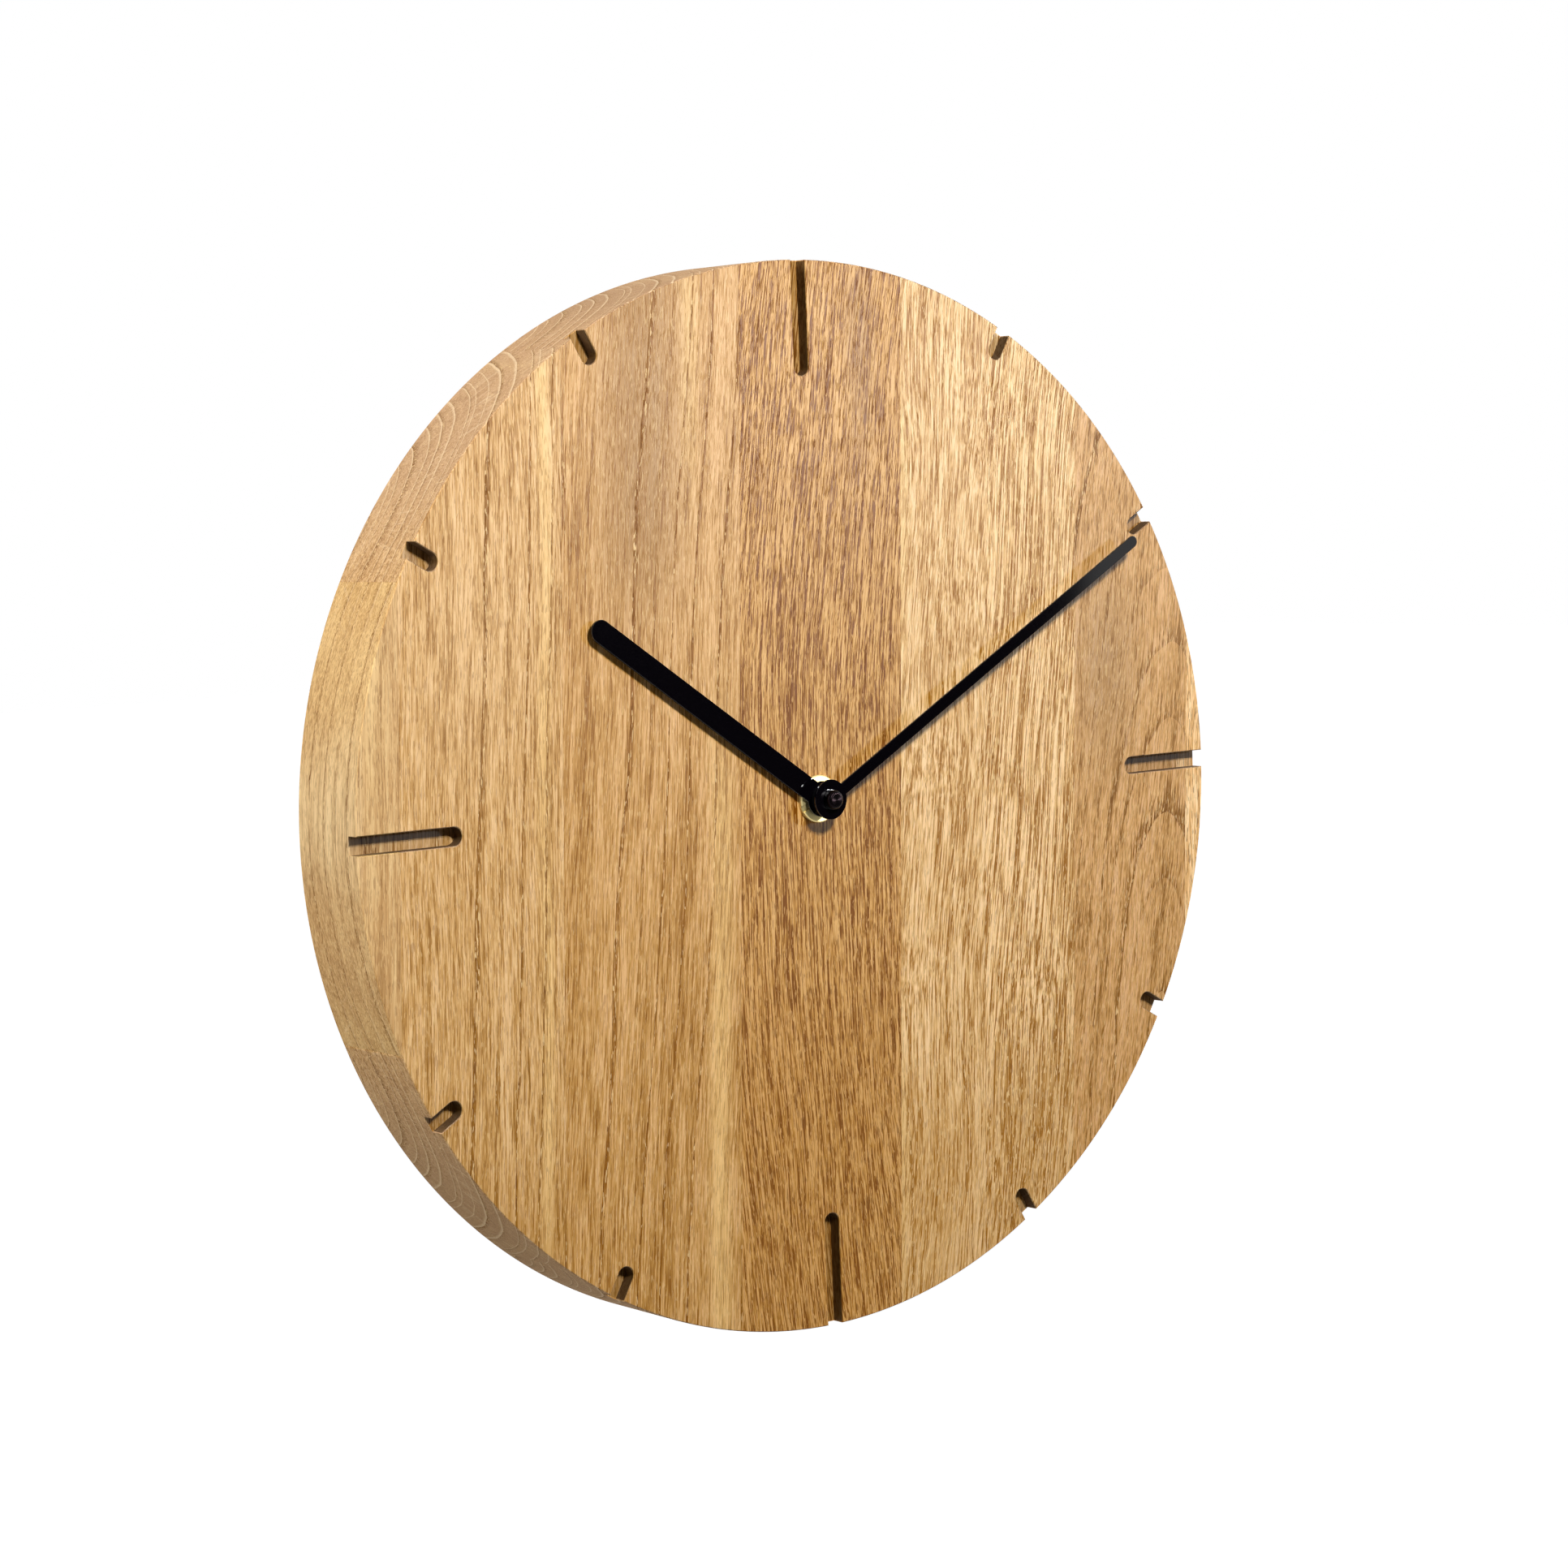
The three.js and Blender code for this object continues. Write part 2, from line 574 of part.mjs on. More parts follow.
// Domed cap nut, open at the back where it screws on the minute pipe
function capNut() {
  const back = minuteHandFront + SEAT;
  const bore = MINUTE_THREAD_DIAMETER / 2 + RUNNING / 2;
  const front = back + CAP_HEIGHT;
  const shoulder = back + CAP_HEIGHT / 2;
  const dome = Array.from({ length: CORNER_FACETS + 1 }, (_, i) => {
    const angle = Math.PI / 2 * i / CORNER_FACETS;
    return [CAP_DIAMETER / 2 * Math.cos(angle), shoulder + (front - shoulder) * Math.sin(angle)];
  });
  dome[CORNER_FACETS][0] = 0;
  return turned([
    [0, front - CAP_WALL],
    [bore, front - CAP_WALL],
    [bore, back],
    [CAP_DIAMETER / 2, back],
    ...dome,
  ]);
}

// Motion work: minute pipe with its cannon pinion, minute wheel, hour wheel

const cannonPhase = 0;
const minutePhase = meshPhase(CANNON_TEETH, cannonPhase, MINUTE_WHEEL_TEETH, minuteWheelDirection);
const minutePinionPhase = 0;
const hourPhase = meshPhase(MINUTE_PINION_TEETH, minutePinionPhase, HOUR_WHEEL_TEETH,
  minuteWheelDirection + Math.PI);
const pipeBack = centreLevel - EASY;
const pipeFront = minuteHandFront + SEAT + CAP_HEIGHT - CAP_WALL - EASY;
const arborBore = ARBOR_DIAMETER + 3 * RUNNING;

function minutePipe() {
  const pipe = rod(MINUTE_PIPE_DIAMETER, pipeBack, minuteHandBack - SEAT, origin, ROUND_FACETS);
  const thread = rod(MINUTE_THREAD_DIAMETER, pipeBack, pipeFront, origin, ROUND_FACETS);
  const teeth = gear(CANNON_TEETH, MOTION_MODULE, cannonPhase, origin, true);
  const cannon = prism(teeth, minuteLevel - RUNNING, minuteLevel + WHEEL_THICKNESS + RUNNING);
  return cut(join(pipe, thread, cannon), rod(arborBore, pipeBack - OVERCUT, pipeFront + OVERCUT));
}

function minuteWheel() {
  const front = minuteLevel + WHEEL_THICKNESS;
  const teeth = gear(MINUTE_WHEEL_TEETH, MOTION_MODULE, minutePhase, minuteAxis, false);
  const wheel = prism(teeth, minuteLevel, front);
  const leaves = gear(MINUTE_PINION_TEETH, hourModule, minutePinionPhase, minuteAxis, true);
  const pinion = prism(leaves, front - SEAT, hourLevel + WHEEL_THICKNESS);
  const pivot = rod(ARBOR_DIAMETER, hourLevel, pivotFront, minuteAxis);
  const shaftBack = caseBack - RUNNING - KNOB_HEIGHT / 2;
  const shaft = rod(SETTING_SHAFT_DIAMETER, shaftBack, minuteLevel + SEAT, minuteAxis);
  return join(wheel, pinion, pivot, shaft);
}

function settingKnob() {
  const front = caseBack - RUNNING;
  const crest = KNOB_DIAMETER / 2;
  const valley = crest - KNOB_RIB_DEPTH;
  const ribProfile = [crest, crest, valley, valley];
  const steps = ribProfile.length * KNOB_RIBS;
  const outline = Array.from({ length: steps }, (_, i) =>
    polar(ribProfile[i % ribProfile.length], 2 * Math.PI * i / steps).add(minuteAxis));
  const body = prism(outline, front - KNOB_HEIGHT, front);
  const socketBack = front - KNOB_HEIGHT / 2 - RUNNING;
  return cut(body, rod(SETTING_SHAFT_DIAMETER + RUNNING, socketBack, front + OVERCUT, minuteAxis));
}

function hourWheel() {
  const teeth = gear(HOUR_WHEEL_TEETH, hourModule, hourPhase, origin, false);
  const wheel = prism(teeth, hourLevel, hourLevel + WHEEL_THICKNESS);
  const pipeEnd = hourHandFront + HOUR_COLLET_HEIGHT;
  const pipe = rod(HOUR_PIPE_DIAMETER, hourLevel, pipeEnd, origin, ROUND_FACETS);
  const bore = MINUTE_PIPE_DIAMETER + 2 * RUNNING;
  return cut(join(wheel, pipe), rod(bore, hourLevel - OVERCUT, pipeEnd + OVERCUT, origin, ROUND_FACETS));
}

// Going train, from the rotor to the centre wheel

const rotorPhase = 0;
const fifthPhase = meshPhase(ROTOR_TEETH, rotorPhase, FIFTH_TEETH, rotorDirection + Math.PI);
const leafPhase = 0;
const fourthPhase = meshPhase(LEAVES, leafPhase, FOURTH_TEETH, fifthDirection + Math.PI);
const thirdPhase = meshPhase(LEAVES, leafPhase, THIRD_TEETH, thirdDirection);
const centrePhase = meshPhase(LEAVES, leafPhase, CENTRE_TEETH, thirdDirection + Math.PI);

// A wheel with its leaf pinion in front of it, on a thin arbor
function wheelAndPinion(teeth, module, phase, pinionModule, axis, level, arborEnd) {
  const front = level + WHEEL_THICKNESS;
  const wheel = prism(gear(teeth, module, phase, axis, false), level, front);
  const leaves = gear(LEAVES, pinionModule, leafPhase, axis, true);
  const pinion = prism(leaves, front - SEAT, level + LEVEL_PITCH + WHEEL_THICKNESS + RUNNING);
  const arbor = rod(ARBOR_DIAMETER, plateBack, arborEnd, axis);
  return join(wheel, pinion, arbor);
}

function rotorArbor() {
  const leaves = gear(ROTOR_TEETH, FIFTH_MODULE, rotorPhase, rotorAxis, true);
  const pinion = prism(leaves, fifthLevel - RUNNING, magnetBack - RUNNING);
  const arbor = rod(ARBOR_DIAMETER, plateBack, rotorEnd, rotorAxis);
  return join(pinion, arbor);
}

function rotorMagnet() {
  return ring(MAGNET_DIAMETER, ARBOR_DIAMETER + RUNNING, magnetBack, magnetBack + MAGNET_HEIGHT, rotorAxis);
}

function fifthWheel() {
  return wheelAndPinion(FIFTH_TEETH, FIFTH_MODULE, fifthPhase, FOURTH_MODULE,
    fifthAxis, fifthLevel, pivotFront);
}

// The fourth wheel turns once a minute, and its long arbor runs through the minute pipe
function fourthWheel() {
  return wheelAndPinion(FOURTH_TEETH, FOURTH_MODULE, fourthPhase, thirdModule,
    origin, fourthLevel, pipeFront - EASY);
}

function thirdWheel() {
  return wheelAndPinion(THIRD_TEETH, thirdModule, thirdPhase, CENTRE_MODULE,
    thirdAxis, thirdLevel, pivotFront);
}

function centreWheel() {
  const teeth = gear(CENTRE_TEETH, CENTRE_MODULE, centrePhase, origin, false);
  const bore = circle(MINUTE_PIPE_DIAMETER / 2 + RUNNING);
  return prism(teeth, centreLevel, centreLevel + WHEEL_THICKNESS, [bore]);
}

// Step motor

function stator() {
  const bar = block(statorLeft, rotorAxis.y - STATOR_ARM / 2, statorRight, rotorAxis.y + STATOR_ARM / 2,
    statorBack, statorFront);
  const armTop = coilHeight + CORE_WIDTH / 2;
  const armBottom = rotorAxis.y - STATOR_ARM / 2;
  const arms = [statorLeft, statorRight - STATOR_ARM].map((left) =>
    block(left, armBottom, left + STATOR_ARM, armTop, statorBack, statorFront));
  const collar = rod(2 * (statorHole + STATOR_RING), statorBack, statorFront, rotorAxis, ROUND_FACETS);
  const hole = rod(2 * statorHole, statorBack - OVERCUT, statorFront + OVERCUT, rotorAxis, ROUND_FACETS);
  return cut(join(bar, ...arms, collar), hole);
}

function coilCore() {
  return block(statorLeft, coilHeight - CORE_WIDTH / 2, statorRight, coilHeight + CORE_WIDTH / 2,
    coreBack, coreBack + CORE_THICKNESS);
}

// The bobbin and its winding are drawn along z, and laid along x above the rotor
const coilPlace = [rotorAxis.x - COIL_LENGTH / 2, coilHeight, coilDepth];

function coilBobbin() {
  const tube = rod(BOBBIN_TUBE, 0, COIL_LENGTH, origin, SMALL_FACETS);
  const flanges = [0, COIL_LENGTH - BOBBIN_FLANGE].map((from) =>
    rod(COIL_DIAMETER + EASY, from, from + BOBBIN_FLANGE, origin, SMALL_FACETS));
  const thick = CORE_THICKNESS / 2 + RUNNING;
  const wide = CORE_WIDTH / 2 + RUNNING;
  const window = block(-thick, -wide, thick, wide, -OVERCUT, COIL_LENGTH + OVERCUT);
  return cut(join(tube, ...flanges), window);
}

function coilWinding() {
  return ring(COIL_DIAMETER, BOBBIN_TUBE + RUNNING, BOBBIN_FLANGE + SEAT,
    COIL_LENGTH - BOBBIN_FLANGE - SEAT, origin, SMALL_FACETS);
}

// Electrics

const contactPlane = worksHalf - RUNNING;
const cellRight = contactPlane - CONTACT_THICKNESS - CONTACT_BULGE - RUNNING;
const cellPlace = [cellRight - CELL_LENGTH, cellCentre, cellDepth];

// The cell is drawn along z, plus end last, and laid along x in the bay
function dryCell() {
  const shoulder = CELL_LENGTH - CELL_NUB_LENGTH;
  return turned([
    [0, 0],
    [CELL_DIAMETER / 2, 0],
    [CELL_DIAMETER / 2, shoulder],
    [CELL_NUB_DIAMETER / 2, shoulder],
    [CELL_NUB_DIAMETER / 2, CELL_LENGTH],
    [0, CELL_LENGTH],
  ]);
}

// A contact plate stands at one end of the bay with a pressed bulge towards the cell
function contactPlate(side) {
  const half = CONTACT_WIDTH / 2;
  const outer = side * contactPlane;
  const inner = side * (contactPlane - CONTACT_THICKNESS);
  const plate = block(Math.min(outer, inner), cellCentre - half, Math.max(outer, inner), cellCentre + half,
    cellDepth - half, cellDepth + half);
  const bulge = lathe([
    [0, 0],
    [CELL_NUB_DIAMETER / 2, 0],
    [CELL_NUB_DIAMETER / 4, CONTACT_THICKNESS + CONTACT_BULGE],
    [0, CONTACT_THICKNESS + CONTACT_BULGE],
  ], SMALL_FACETS).rotateY(-side * Math.PI / 2);
  return join(plate, solid(bulge.translate(outer, cellCentre, cellDepth)));
}

// The plus tail rises beside the board, and the minus tail runs behind the cell to the board's foot
function plusContact() {
  const inner = contactPlane - CONTACT_THICKNESS;
  const tailTop = boardBottom + CONTACT_TAIL;
  const foot = block(inner, cellCentre, contactPlane, cellCentre + CONTACT_WIDTH / 2, cellDepth, tailBack);
  const tail = block(inner, cellCentre, contactPlane, tailTop, tailBack - CONTACT_TAIL, tailBack);
  return join(contactPlate(1), foot, tail);
}

function minusContact() {
  const outer = -contactPlane;
  const inner = outer + CONTACT_THICKNESS;
  const tailFront = tailBack + CONTACT_THICKNESS;
  const runTop = bayTop - EASY;
  const runBottom = runTop - CONTACT_TAIL;
  const foot = block(outer, cellCentre, inner, runTop, cellDepth, tailFront);
  const tailRight = minusTailLeft + CONTACT_TAIL;
  const run = block(outer, runBottom, tailRight, runTop, tailBack, tailFront);
  const riser = block(minusTailLeft, runBottom, tailRight, boardBottom - SEAT, tailBack, tailFront);
  return join(contactPlate(-1), foot, run, riser);
}

function circuitBoard() {
  return block(boardLeft, boardBottom, boardRight, boardBottom + BOARD_LENGTH, boardBack, boardFront);
}

// The crystal's can is drawn along z, and laid along y behind the board
const boardMiddle = (boardLeft + boardRight) / 2;
const crystalPlace = [
  boardMiddle,
  boardBottom + BOARD_LENGTH - CRYSTAL_LENGTH - BOARD_WIDTH / 2,
  boardBack - SEAT - CRYSTAL_DIAMETER / 2,
];

function quartzCrystal() {
  return rod(CRYSTAL_DIAMETER, 0, CRYSTAL_LENGTH);
}

function chipDrop() {
  const spot = new THREE.Vector2(boardMiddle, boardBottom + BOARD_LENGTH / 2);
  const top = boardBack - SEAT;
  return turned([
    [0, top - CHIP_HEIGHT],
    [CHIP_DIAMETER / 4, top - CHIP_HEIGHT],
    [CHIP_DIAMETER / 2, top],
    [0, top],
  ], spot, SMALL_FACETS);
}

// Finishes

const finish = (color, roughness, metalness = 0) =>
  new THREE.MeshStandardMaterial({ color, roughness, metalness });
const oak = (color) => finish(color, 0.55);
const OAK_TONES = ['#d2ab78', '#cda36c', '#c1935a', '#b6864c', '#d3ab76', '#cea36c', '#bf925c', '#e3c08d'];
const blackPaint = finish('#0c0b0c', 0.35);
const brass = finish('#d9c27a', 0.25, 1);
const steel = finish('#b9bcc0', 0.35, 1);
const blackPlastic = finish('#1b1b1d', 0.5);
const whitePlastic = finish('#e4e2da', 0.45);
const rubber = finish('#26262a', 0.85);
const ferrite = finish('#3a3a3f', 0.5, 0.6);
const copper = finish('#b5673a', 0.4, 1);
const laminate = finish('#2f6b3c', 0.5);
const cellJacket = finish('#7d8a93', 0.4, 0.5);

// The clock

const clock = new THREE.Group();
const alongX = [0, Math.PI / 2, 0];
const alongY = [-Math.PI / 2, 0, 0];

function place(name, piece, material, position = [0, 0, 0], rotation = [0, 0, 0]) {
  const { vertProperties, triVerts } = piece.getMesh();
  const geometry = new THREE.BufferGeometry();
  geometry.setAttribute('position', new THREE.BufferAttribute(new Float32Array(vertProperties), 3));
  geometry.setIndex(new THREE.BufferAttribute(new Uint32Array(triVerts), 1));
  geometry.computeVertexNormals();
  const mesh = new THREE.Mesh(geometry, material);
  mesh.name = name;
  mesh.position.set(...position);
  mesh.rotation.set(...rotation);
  clock.add(mesh);
}

staves().forEach((stave, i) => place(`oak_stave_${i + 1}`, stave, oak(OAK_TONES[i % OAK_TONES.length])));
place('hanger_plate', hangerPlate(), steel);
screwPlaces().forEach((spot, i) => place(`hanger_screw_${i + 1}`, hangerScrew(spot), steel));
place('movement_case', movementCase(), blackPlastic);
place('movement_cover', movementCover(), blackPlastic);
place('train_plate', trainPlate(), whitePlastic);
place('rubber_washer', rubberWasher(), rubber);
place('fixing_nut', fixingNut(), brass);
place('hour_hand', hourHand(), blackPaint);
place('hour_hand_collet', hourCollet(), blackPaint);
place('minute_hand', minuteHand(), blackPaint);
place('minute_hand_collet', minuteCollet(), blackPaint);
place('cap_nut', capNut(), blackPaint);
place('minute_pipe', minutePipe(), brass);
place('minute_wheel', minuteWheel(), whitePlastic);
place('setting_knob', settingKnob(), blackPlastic);
place('hour_wheel', hourWheel(), whitePlastic);
place('rotor_arbor', rotorArbor(), whitePlastic);
place('rotor_magnet', rotorMagnet(), ferrite);
place('fifth_wheel', fifthWheel(), whitePlastic);
place('fourth_wheel', fourthWheel(), whitePlastic);
place('third_wheel', thirdWheel(), whitePlastic);
place('centre_wheel', centreWheel(), whitePlastic);
place('stator', stator(), steel);
place('coil_core', coilCore(), steel);
place('coil_bobbin', coilBobbin(), whitePlastic, coilPlace, alongX);
place('coil_winding', coilWinding(), copper, coilPlace, alongX);
place('dry_cell', dryCell(), cellJacket, cellPlace, alongX);
place('plus_contact', plusContact(), steel);
place('minus_contact', minusContact(), steel);
place('circuit_board', circuitBoard(), laminate);
place('quartz_crystal', quartzCrystal(), steel, crystalPlace, alongY);
place('chip_drop', chipDrop(), blackPlastic);

// Stand the clock up: y becomes +Z, and z, out from the wall, becomes -Y
clock.rotation.x = Math.PI / 2;

export default clock;
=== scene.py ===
"""Wooden wall clock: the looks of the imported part, in metres, in the frame of its solids.

The dial faces -Y, +Z is up and the wall is the plane y = 0. Outlines are drawn in x and z, and a depth
called "out" is measured from the wall towards the room.
"""
import math

import bmesh
import bpy
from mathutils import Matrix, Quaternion, Vector


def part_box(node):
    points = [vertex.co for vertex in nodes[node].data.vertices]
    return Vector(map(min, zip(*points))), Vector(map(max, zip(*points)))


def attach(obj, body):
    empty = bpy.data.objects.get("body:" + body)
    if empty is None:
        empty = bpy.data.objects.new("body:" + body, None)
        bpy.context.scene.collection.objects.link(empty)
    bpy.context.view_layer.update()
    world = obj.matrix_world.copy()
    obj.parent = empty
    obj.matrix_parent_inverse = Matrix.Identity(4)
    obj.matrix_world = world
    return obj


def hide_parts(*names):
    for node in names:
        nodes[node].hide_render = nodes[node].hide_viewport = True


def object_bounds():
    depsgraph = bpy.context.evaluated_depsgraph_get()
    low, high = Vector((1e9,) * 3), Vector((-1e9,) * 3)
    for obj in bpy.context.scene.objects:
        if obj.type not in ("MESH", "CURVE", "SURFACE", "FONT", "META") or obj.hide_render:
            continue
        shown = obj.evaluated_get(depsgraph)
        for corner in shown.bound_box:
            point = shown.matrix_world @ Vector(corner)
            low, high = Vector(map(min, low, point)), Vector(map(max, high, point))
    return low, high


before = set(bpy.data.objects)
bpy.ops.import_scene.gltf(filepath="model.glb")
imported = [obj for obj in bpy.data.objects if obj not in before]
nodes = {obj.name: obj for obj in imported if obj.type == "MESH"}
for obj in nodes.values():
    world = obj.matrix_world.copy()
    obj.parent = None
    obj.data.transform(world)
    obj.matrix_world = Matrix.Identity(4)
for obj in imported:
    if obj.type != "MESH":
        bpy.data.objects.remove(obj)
cad_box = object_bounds()

MM = 0.001
FULL_TURN = 2 * math.pi
QUARTER_TURN = math.pi / 2

# Sizes of the board and its cuts

BOARD_RADIUS = (cad_box[1].x - cad_box[0].x) / 2
FACE = -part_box("oak_stave_4")[0].y
MARK_WIDTH = 5 * MM
MARK_DEPTH = 4 * MM
LONG_MARK = 32 * MM
SHORT_MARK = 9 * MM
HOURS = 12
LONG_MARK_EVERY = 3
POCKET_ROOM = 6 * MM
POCKET_CORNER = 10 * MM
FRONT_WALL = 6 * MM
SHAFT_HOLE = 8.6 * MM
GRAIN_TILT = math.radians(2.4)
GLUE_LINES = [share * BOARD_RADIUS for share in (-0.913, -0.573, -0.179, 0.204, 0.417, 0.649, 0.953)]
GLUE_GAP = 0.02 * MM
EDGE_BREAK = 0.25 * MM
OVERCUT = 1 * MM
BOARD_STEPS = 720
ROUND_STEPS = 96
CORNER_STEPS = 24
SHARP_ANGLE = math.radians(28)


# Places and sizes of the solids

def depths(node):
    """How far out the front and the back of a node lie."""
    low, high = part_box(node)
    return -low.y, -high.y


def middle(node):
    low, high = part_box(node)
    return ((low.x + high.x) / 2, (low.z + high.z) / 2)


def half_width(node):
    low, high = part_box(node)
    return (high.x - low.x) / 2


# Outlines, as lists of (x, z) that run counter-clockwise seen from the room

def arc(centre, radius, start, end, steps):
    angles = [start + (end - start) * i / steps for i in range(steps + 1)]
    return [(centre[0] + radius * math.cos(a), centre[1] + radius * math.sin(a)) for a in angles]


def circle(radius, centre=(0, 0), steps=ROUND_STEPS):
    return arc(centre, radius, 0, FULL_TURN, steps)[:steps]


def strip(start, end, width):
    """A straight strip with round ends."""
    angle = math.atan2(end[1] - start[1], end[0] - start[0])
    return (arc(end, width / 2, angle - QUARTER_TURN, angle + QUARTER_TURN, CORNER_STEPS)
            + arc(start, width / 2, angle + QUARTER_TURN, angle + 3 * QUARTER_TURN, CORNER_STEPS))


def rounded_rectangle(low, high, corner):
    """A rectangle from its low corner to its high corner, with round corners."""
    (left, bottom), (right, top) = low, high
    centres = [(right - corner, top - corner), (left + corner, top - corner),
               (left + corner, bottom + corner), (right - corner, bottom + corner)]
    outline = []
    for i, centre in enumerate(centres):
        outline += arc(centre, corner, i * QUARTER_TURN, (i + 1) * QUARTER_TURN, CORNER_STEPS)
    return outline


def clock_point(radius, degrees):
    """The point at a radius and an angle clockwise from the twelve mark."""
    angle = math.radians(90 - degrees)
    return (radius * math.cos(angle), radius * math.sin(angle))


def straight(outline, *outs):
    """One outline at each of the depths."""
    return [(outline, out) for out in outs]


# Meshes

def solid(name, outer, holes=(), lay=lambda x, z, out: (x, -out, z)):
    """A closed solid from stacked outlines.

    Outer, and each hole, is a list of (outline, out) from front to back. Lay turns an outline's two places
    and its depth into a point of the frame.
    """
    mesh = bmesh.new()
    ends = []
    for stack in (outer, *holes):
        rows = [[mesh.verts.new(lay(x, z, out)) for x, z in outline] for outline, out in stack]
        for ahead, behind in zip(rows, rows[1:]):
            for i in range(len(ahead)):
                mesh.faces.new((ahead[i - 1], ahead[i], behind[i], behind[i - 1]))
        ends.append((rows[0], rows[-1]))
    for rows in zip(*ends):
        if holes:
            edges = [mesh.edges.get((row[i - 1], row[i])) for row in rows for i in range(len(row))]
            bmesh.ops.triangle_fill(mesh, use_beauty=True, edges=edges)
        else:
            mesh.faces.new(rows[0])
    bmesh.ops.recalc_face_normals(mesh, faces=mesh.faces)
    data = bpy.data.meshes.new(name)
    mesh.to_mesh(data)
    mesh.free()
    made = bpy.data.objects.new(name, data)
    bpy.context.scene.collection.objects.link(made)
    return made


def reshape(target, tools, operation="DIFFERENCE"):
    """Cuts away, keeps or joins what the tools cover, then removes the tools."""
    for tool in tools:
        change = target.modifiers.new(tool.name, "BOOLEAN")
        change.operation = operation
        change.solver = "EXACT"
        change.object = tool
    graph = bpy.context.evaluated_depsgraph_get()
    data = bpy.data.meshes.new_from_object(target.evaluated_get(graph))
    target.modifiers.clear()
    target.data = data
    for tool in tools:
        bpy.data.objects.remove(tool)
    return target


def dress(piece, material, body, node):
    """Gives a piece its finish, smooth shading between sharp edges, its body and the node it stands for."""
    piece.data.materials.clear()
    piece.data.materials.append(material)
    piece.data.polygons.foreach_set("use_smooth", [True] * len(piece.data.polygons))
    piece.data.set_sharp_from_angle(angle=SHARP_ANGLE)
    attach(piece, body)
    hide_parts(node)
    return piece


# Materials

def linear(code):
    """An sRGB hex colour as linear values with full alpha."""
    parts = [int(code[i:i + 2], 16) / 255 for i in (0, 2, 4)]
    return [p / 12.92 if p <= 0.04045 else ((p + 0.055) / 1.055) ** 2.4 for p in parts] + [1]


def feed(tree, node, inputs):
    """Gives a node's inputs, by name or in order, a value, a socket or the output of another node."""
    for key, value in inputs.items() if isinstance(inputs, dict) else enumerate(inputs):
        socket = node.inputs[key] if isinstance(key, int) else next(
            s for s in node.inputs if s.enabled and s.name == key)
        if isinstance(value, bpy.types.Node):
            value = next(o for o in value.outputs if o.enabled)
        if isinstance(value, bpy.types.NodeSocket):
            tree.links.new(value, socket)
        else:
            socket.default_value = value


def add(tree, kind, inputs=(), **settings):
    """Adds a shader node with its settings and feeds its inputs."""
    made = tree.nodes.new(f"ShaderNode{kind}")
    for key, value in settings.items():
        setattr(made, key, value)
    feed(tree, made, inputs)
    return made


def blank_material(name, **sockets):
    """A new material with the fixed values of its shader's sockets; returns it with its tree and shader."""
    material = bpy.data.materials.new(name)
    material.use_nodes = True
    tree = material.node_tree
    shader = tree.nodes["Principled BSDF"]
    feed(tree, shader, {key.replace("_", " "): value for key, value in sockets.items()})
    return material, tree, shader


# Oak, planed, sanded and oiled. Lines of open pores follow the growth rings, with short pale flecks between
# them, and each stave has its own tone and its own lie of the rings. Sizes are in millimetres of wood.
SWAY_SIZE = (40, 40, 70)
WAVE_SIZE = (5, 5, 20)
LINE_WIDTH = 0.55
STREAK_SIZE = (3.2, 3.2, 80)
BREAK_SIZE = (0.7, 0.7, 30)
TONE_SIZE = (14, 14, 160)
# Pores are 0.2 to 0.3 mm wide on the real wood, and are drawn about 0.4 mm wide so that they show
PORE_SIZE = (0.32, 0.32, 3.5)
FLECK_SIZE = (0.35, 0.35, 2.6)
# Rays of the end grain, as an angle about the heart and a length
RAY_SIZE = (0.012, 14, 1)
FIGURE_FADE = 25
GRAIN_RELIEF = 0.15
PORE_COLOUR = "683a06"
# Colour inside the cuts: the router's own scorch, with painted shade on their walls
SCORCH_AND_SHADE_COLOUR = "3d2810"
END_COLOUR = "aa8a6e"
END_DARK_COLOUR = "8a683e"
END_LINE_COLOUR = "e6cda8"
# Each stave has its own seed, and each of its patterns adds an odd number to it, so that no two are alike
STAVE_SEED = 31
SMOOTH = {"interpolation_type": "SMOOTHSTEP"}


def field(tree, vector, size, seed, detail=0, roughness=0.5):
    """A noise pattern whose cells have the size given, in millimetres."""
    spot = add(tree, "VectorMath", (vector, [1 / s for s in size], (seed,) * 3), operation="MULTIPLY_ADD")
    return add(tree, "TexNoise", {"Vector": spot, "Scale": 1, "Detail": detail, "Roughness": roughness})


def lay_of_fibres(tree, grain, seed, sway, wave, bow, slant):
    """The swayed wood's place across, its height, and its place with the bow and slant taken out."""
    woven = grain
    for size, shift, reach in ((SWAY_SIZE, 3, sway), (WAVE_SIZE, 5, wave)):
        drift = field(tree, grain, size, seed + shift).outputs["Color"]
        woven = add(tree, "VectorMath", (drift, (reach, reach, 0), woven), operation="MULTIPLY_ADD")
    x, y, height = add(tree, "SeparateXYZ", (woven,)).outputs
    tilt = add(tree, "Math", (height, bow, slant), operation="MULTIPLY_ADD")
    bend = add(tree, "Math", (height, tilt), operation="MULTIPLY")
    unbent = add(tree, "Math", (x, bend), operation="SUBTRACT")
    return x, height, add(tree, "CombineXYZ", (unbent, y, height))


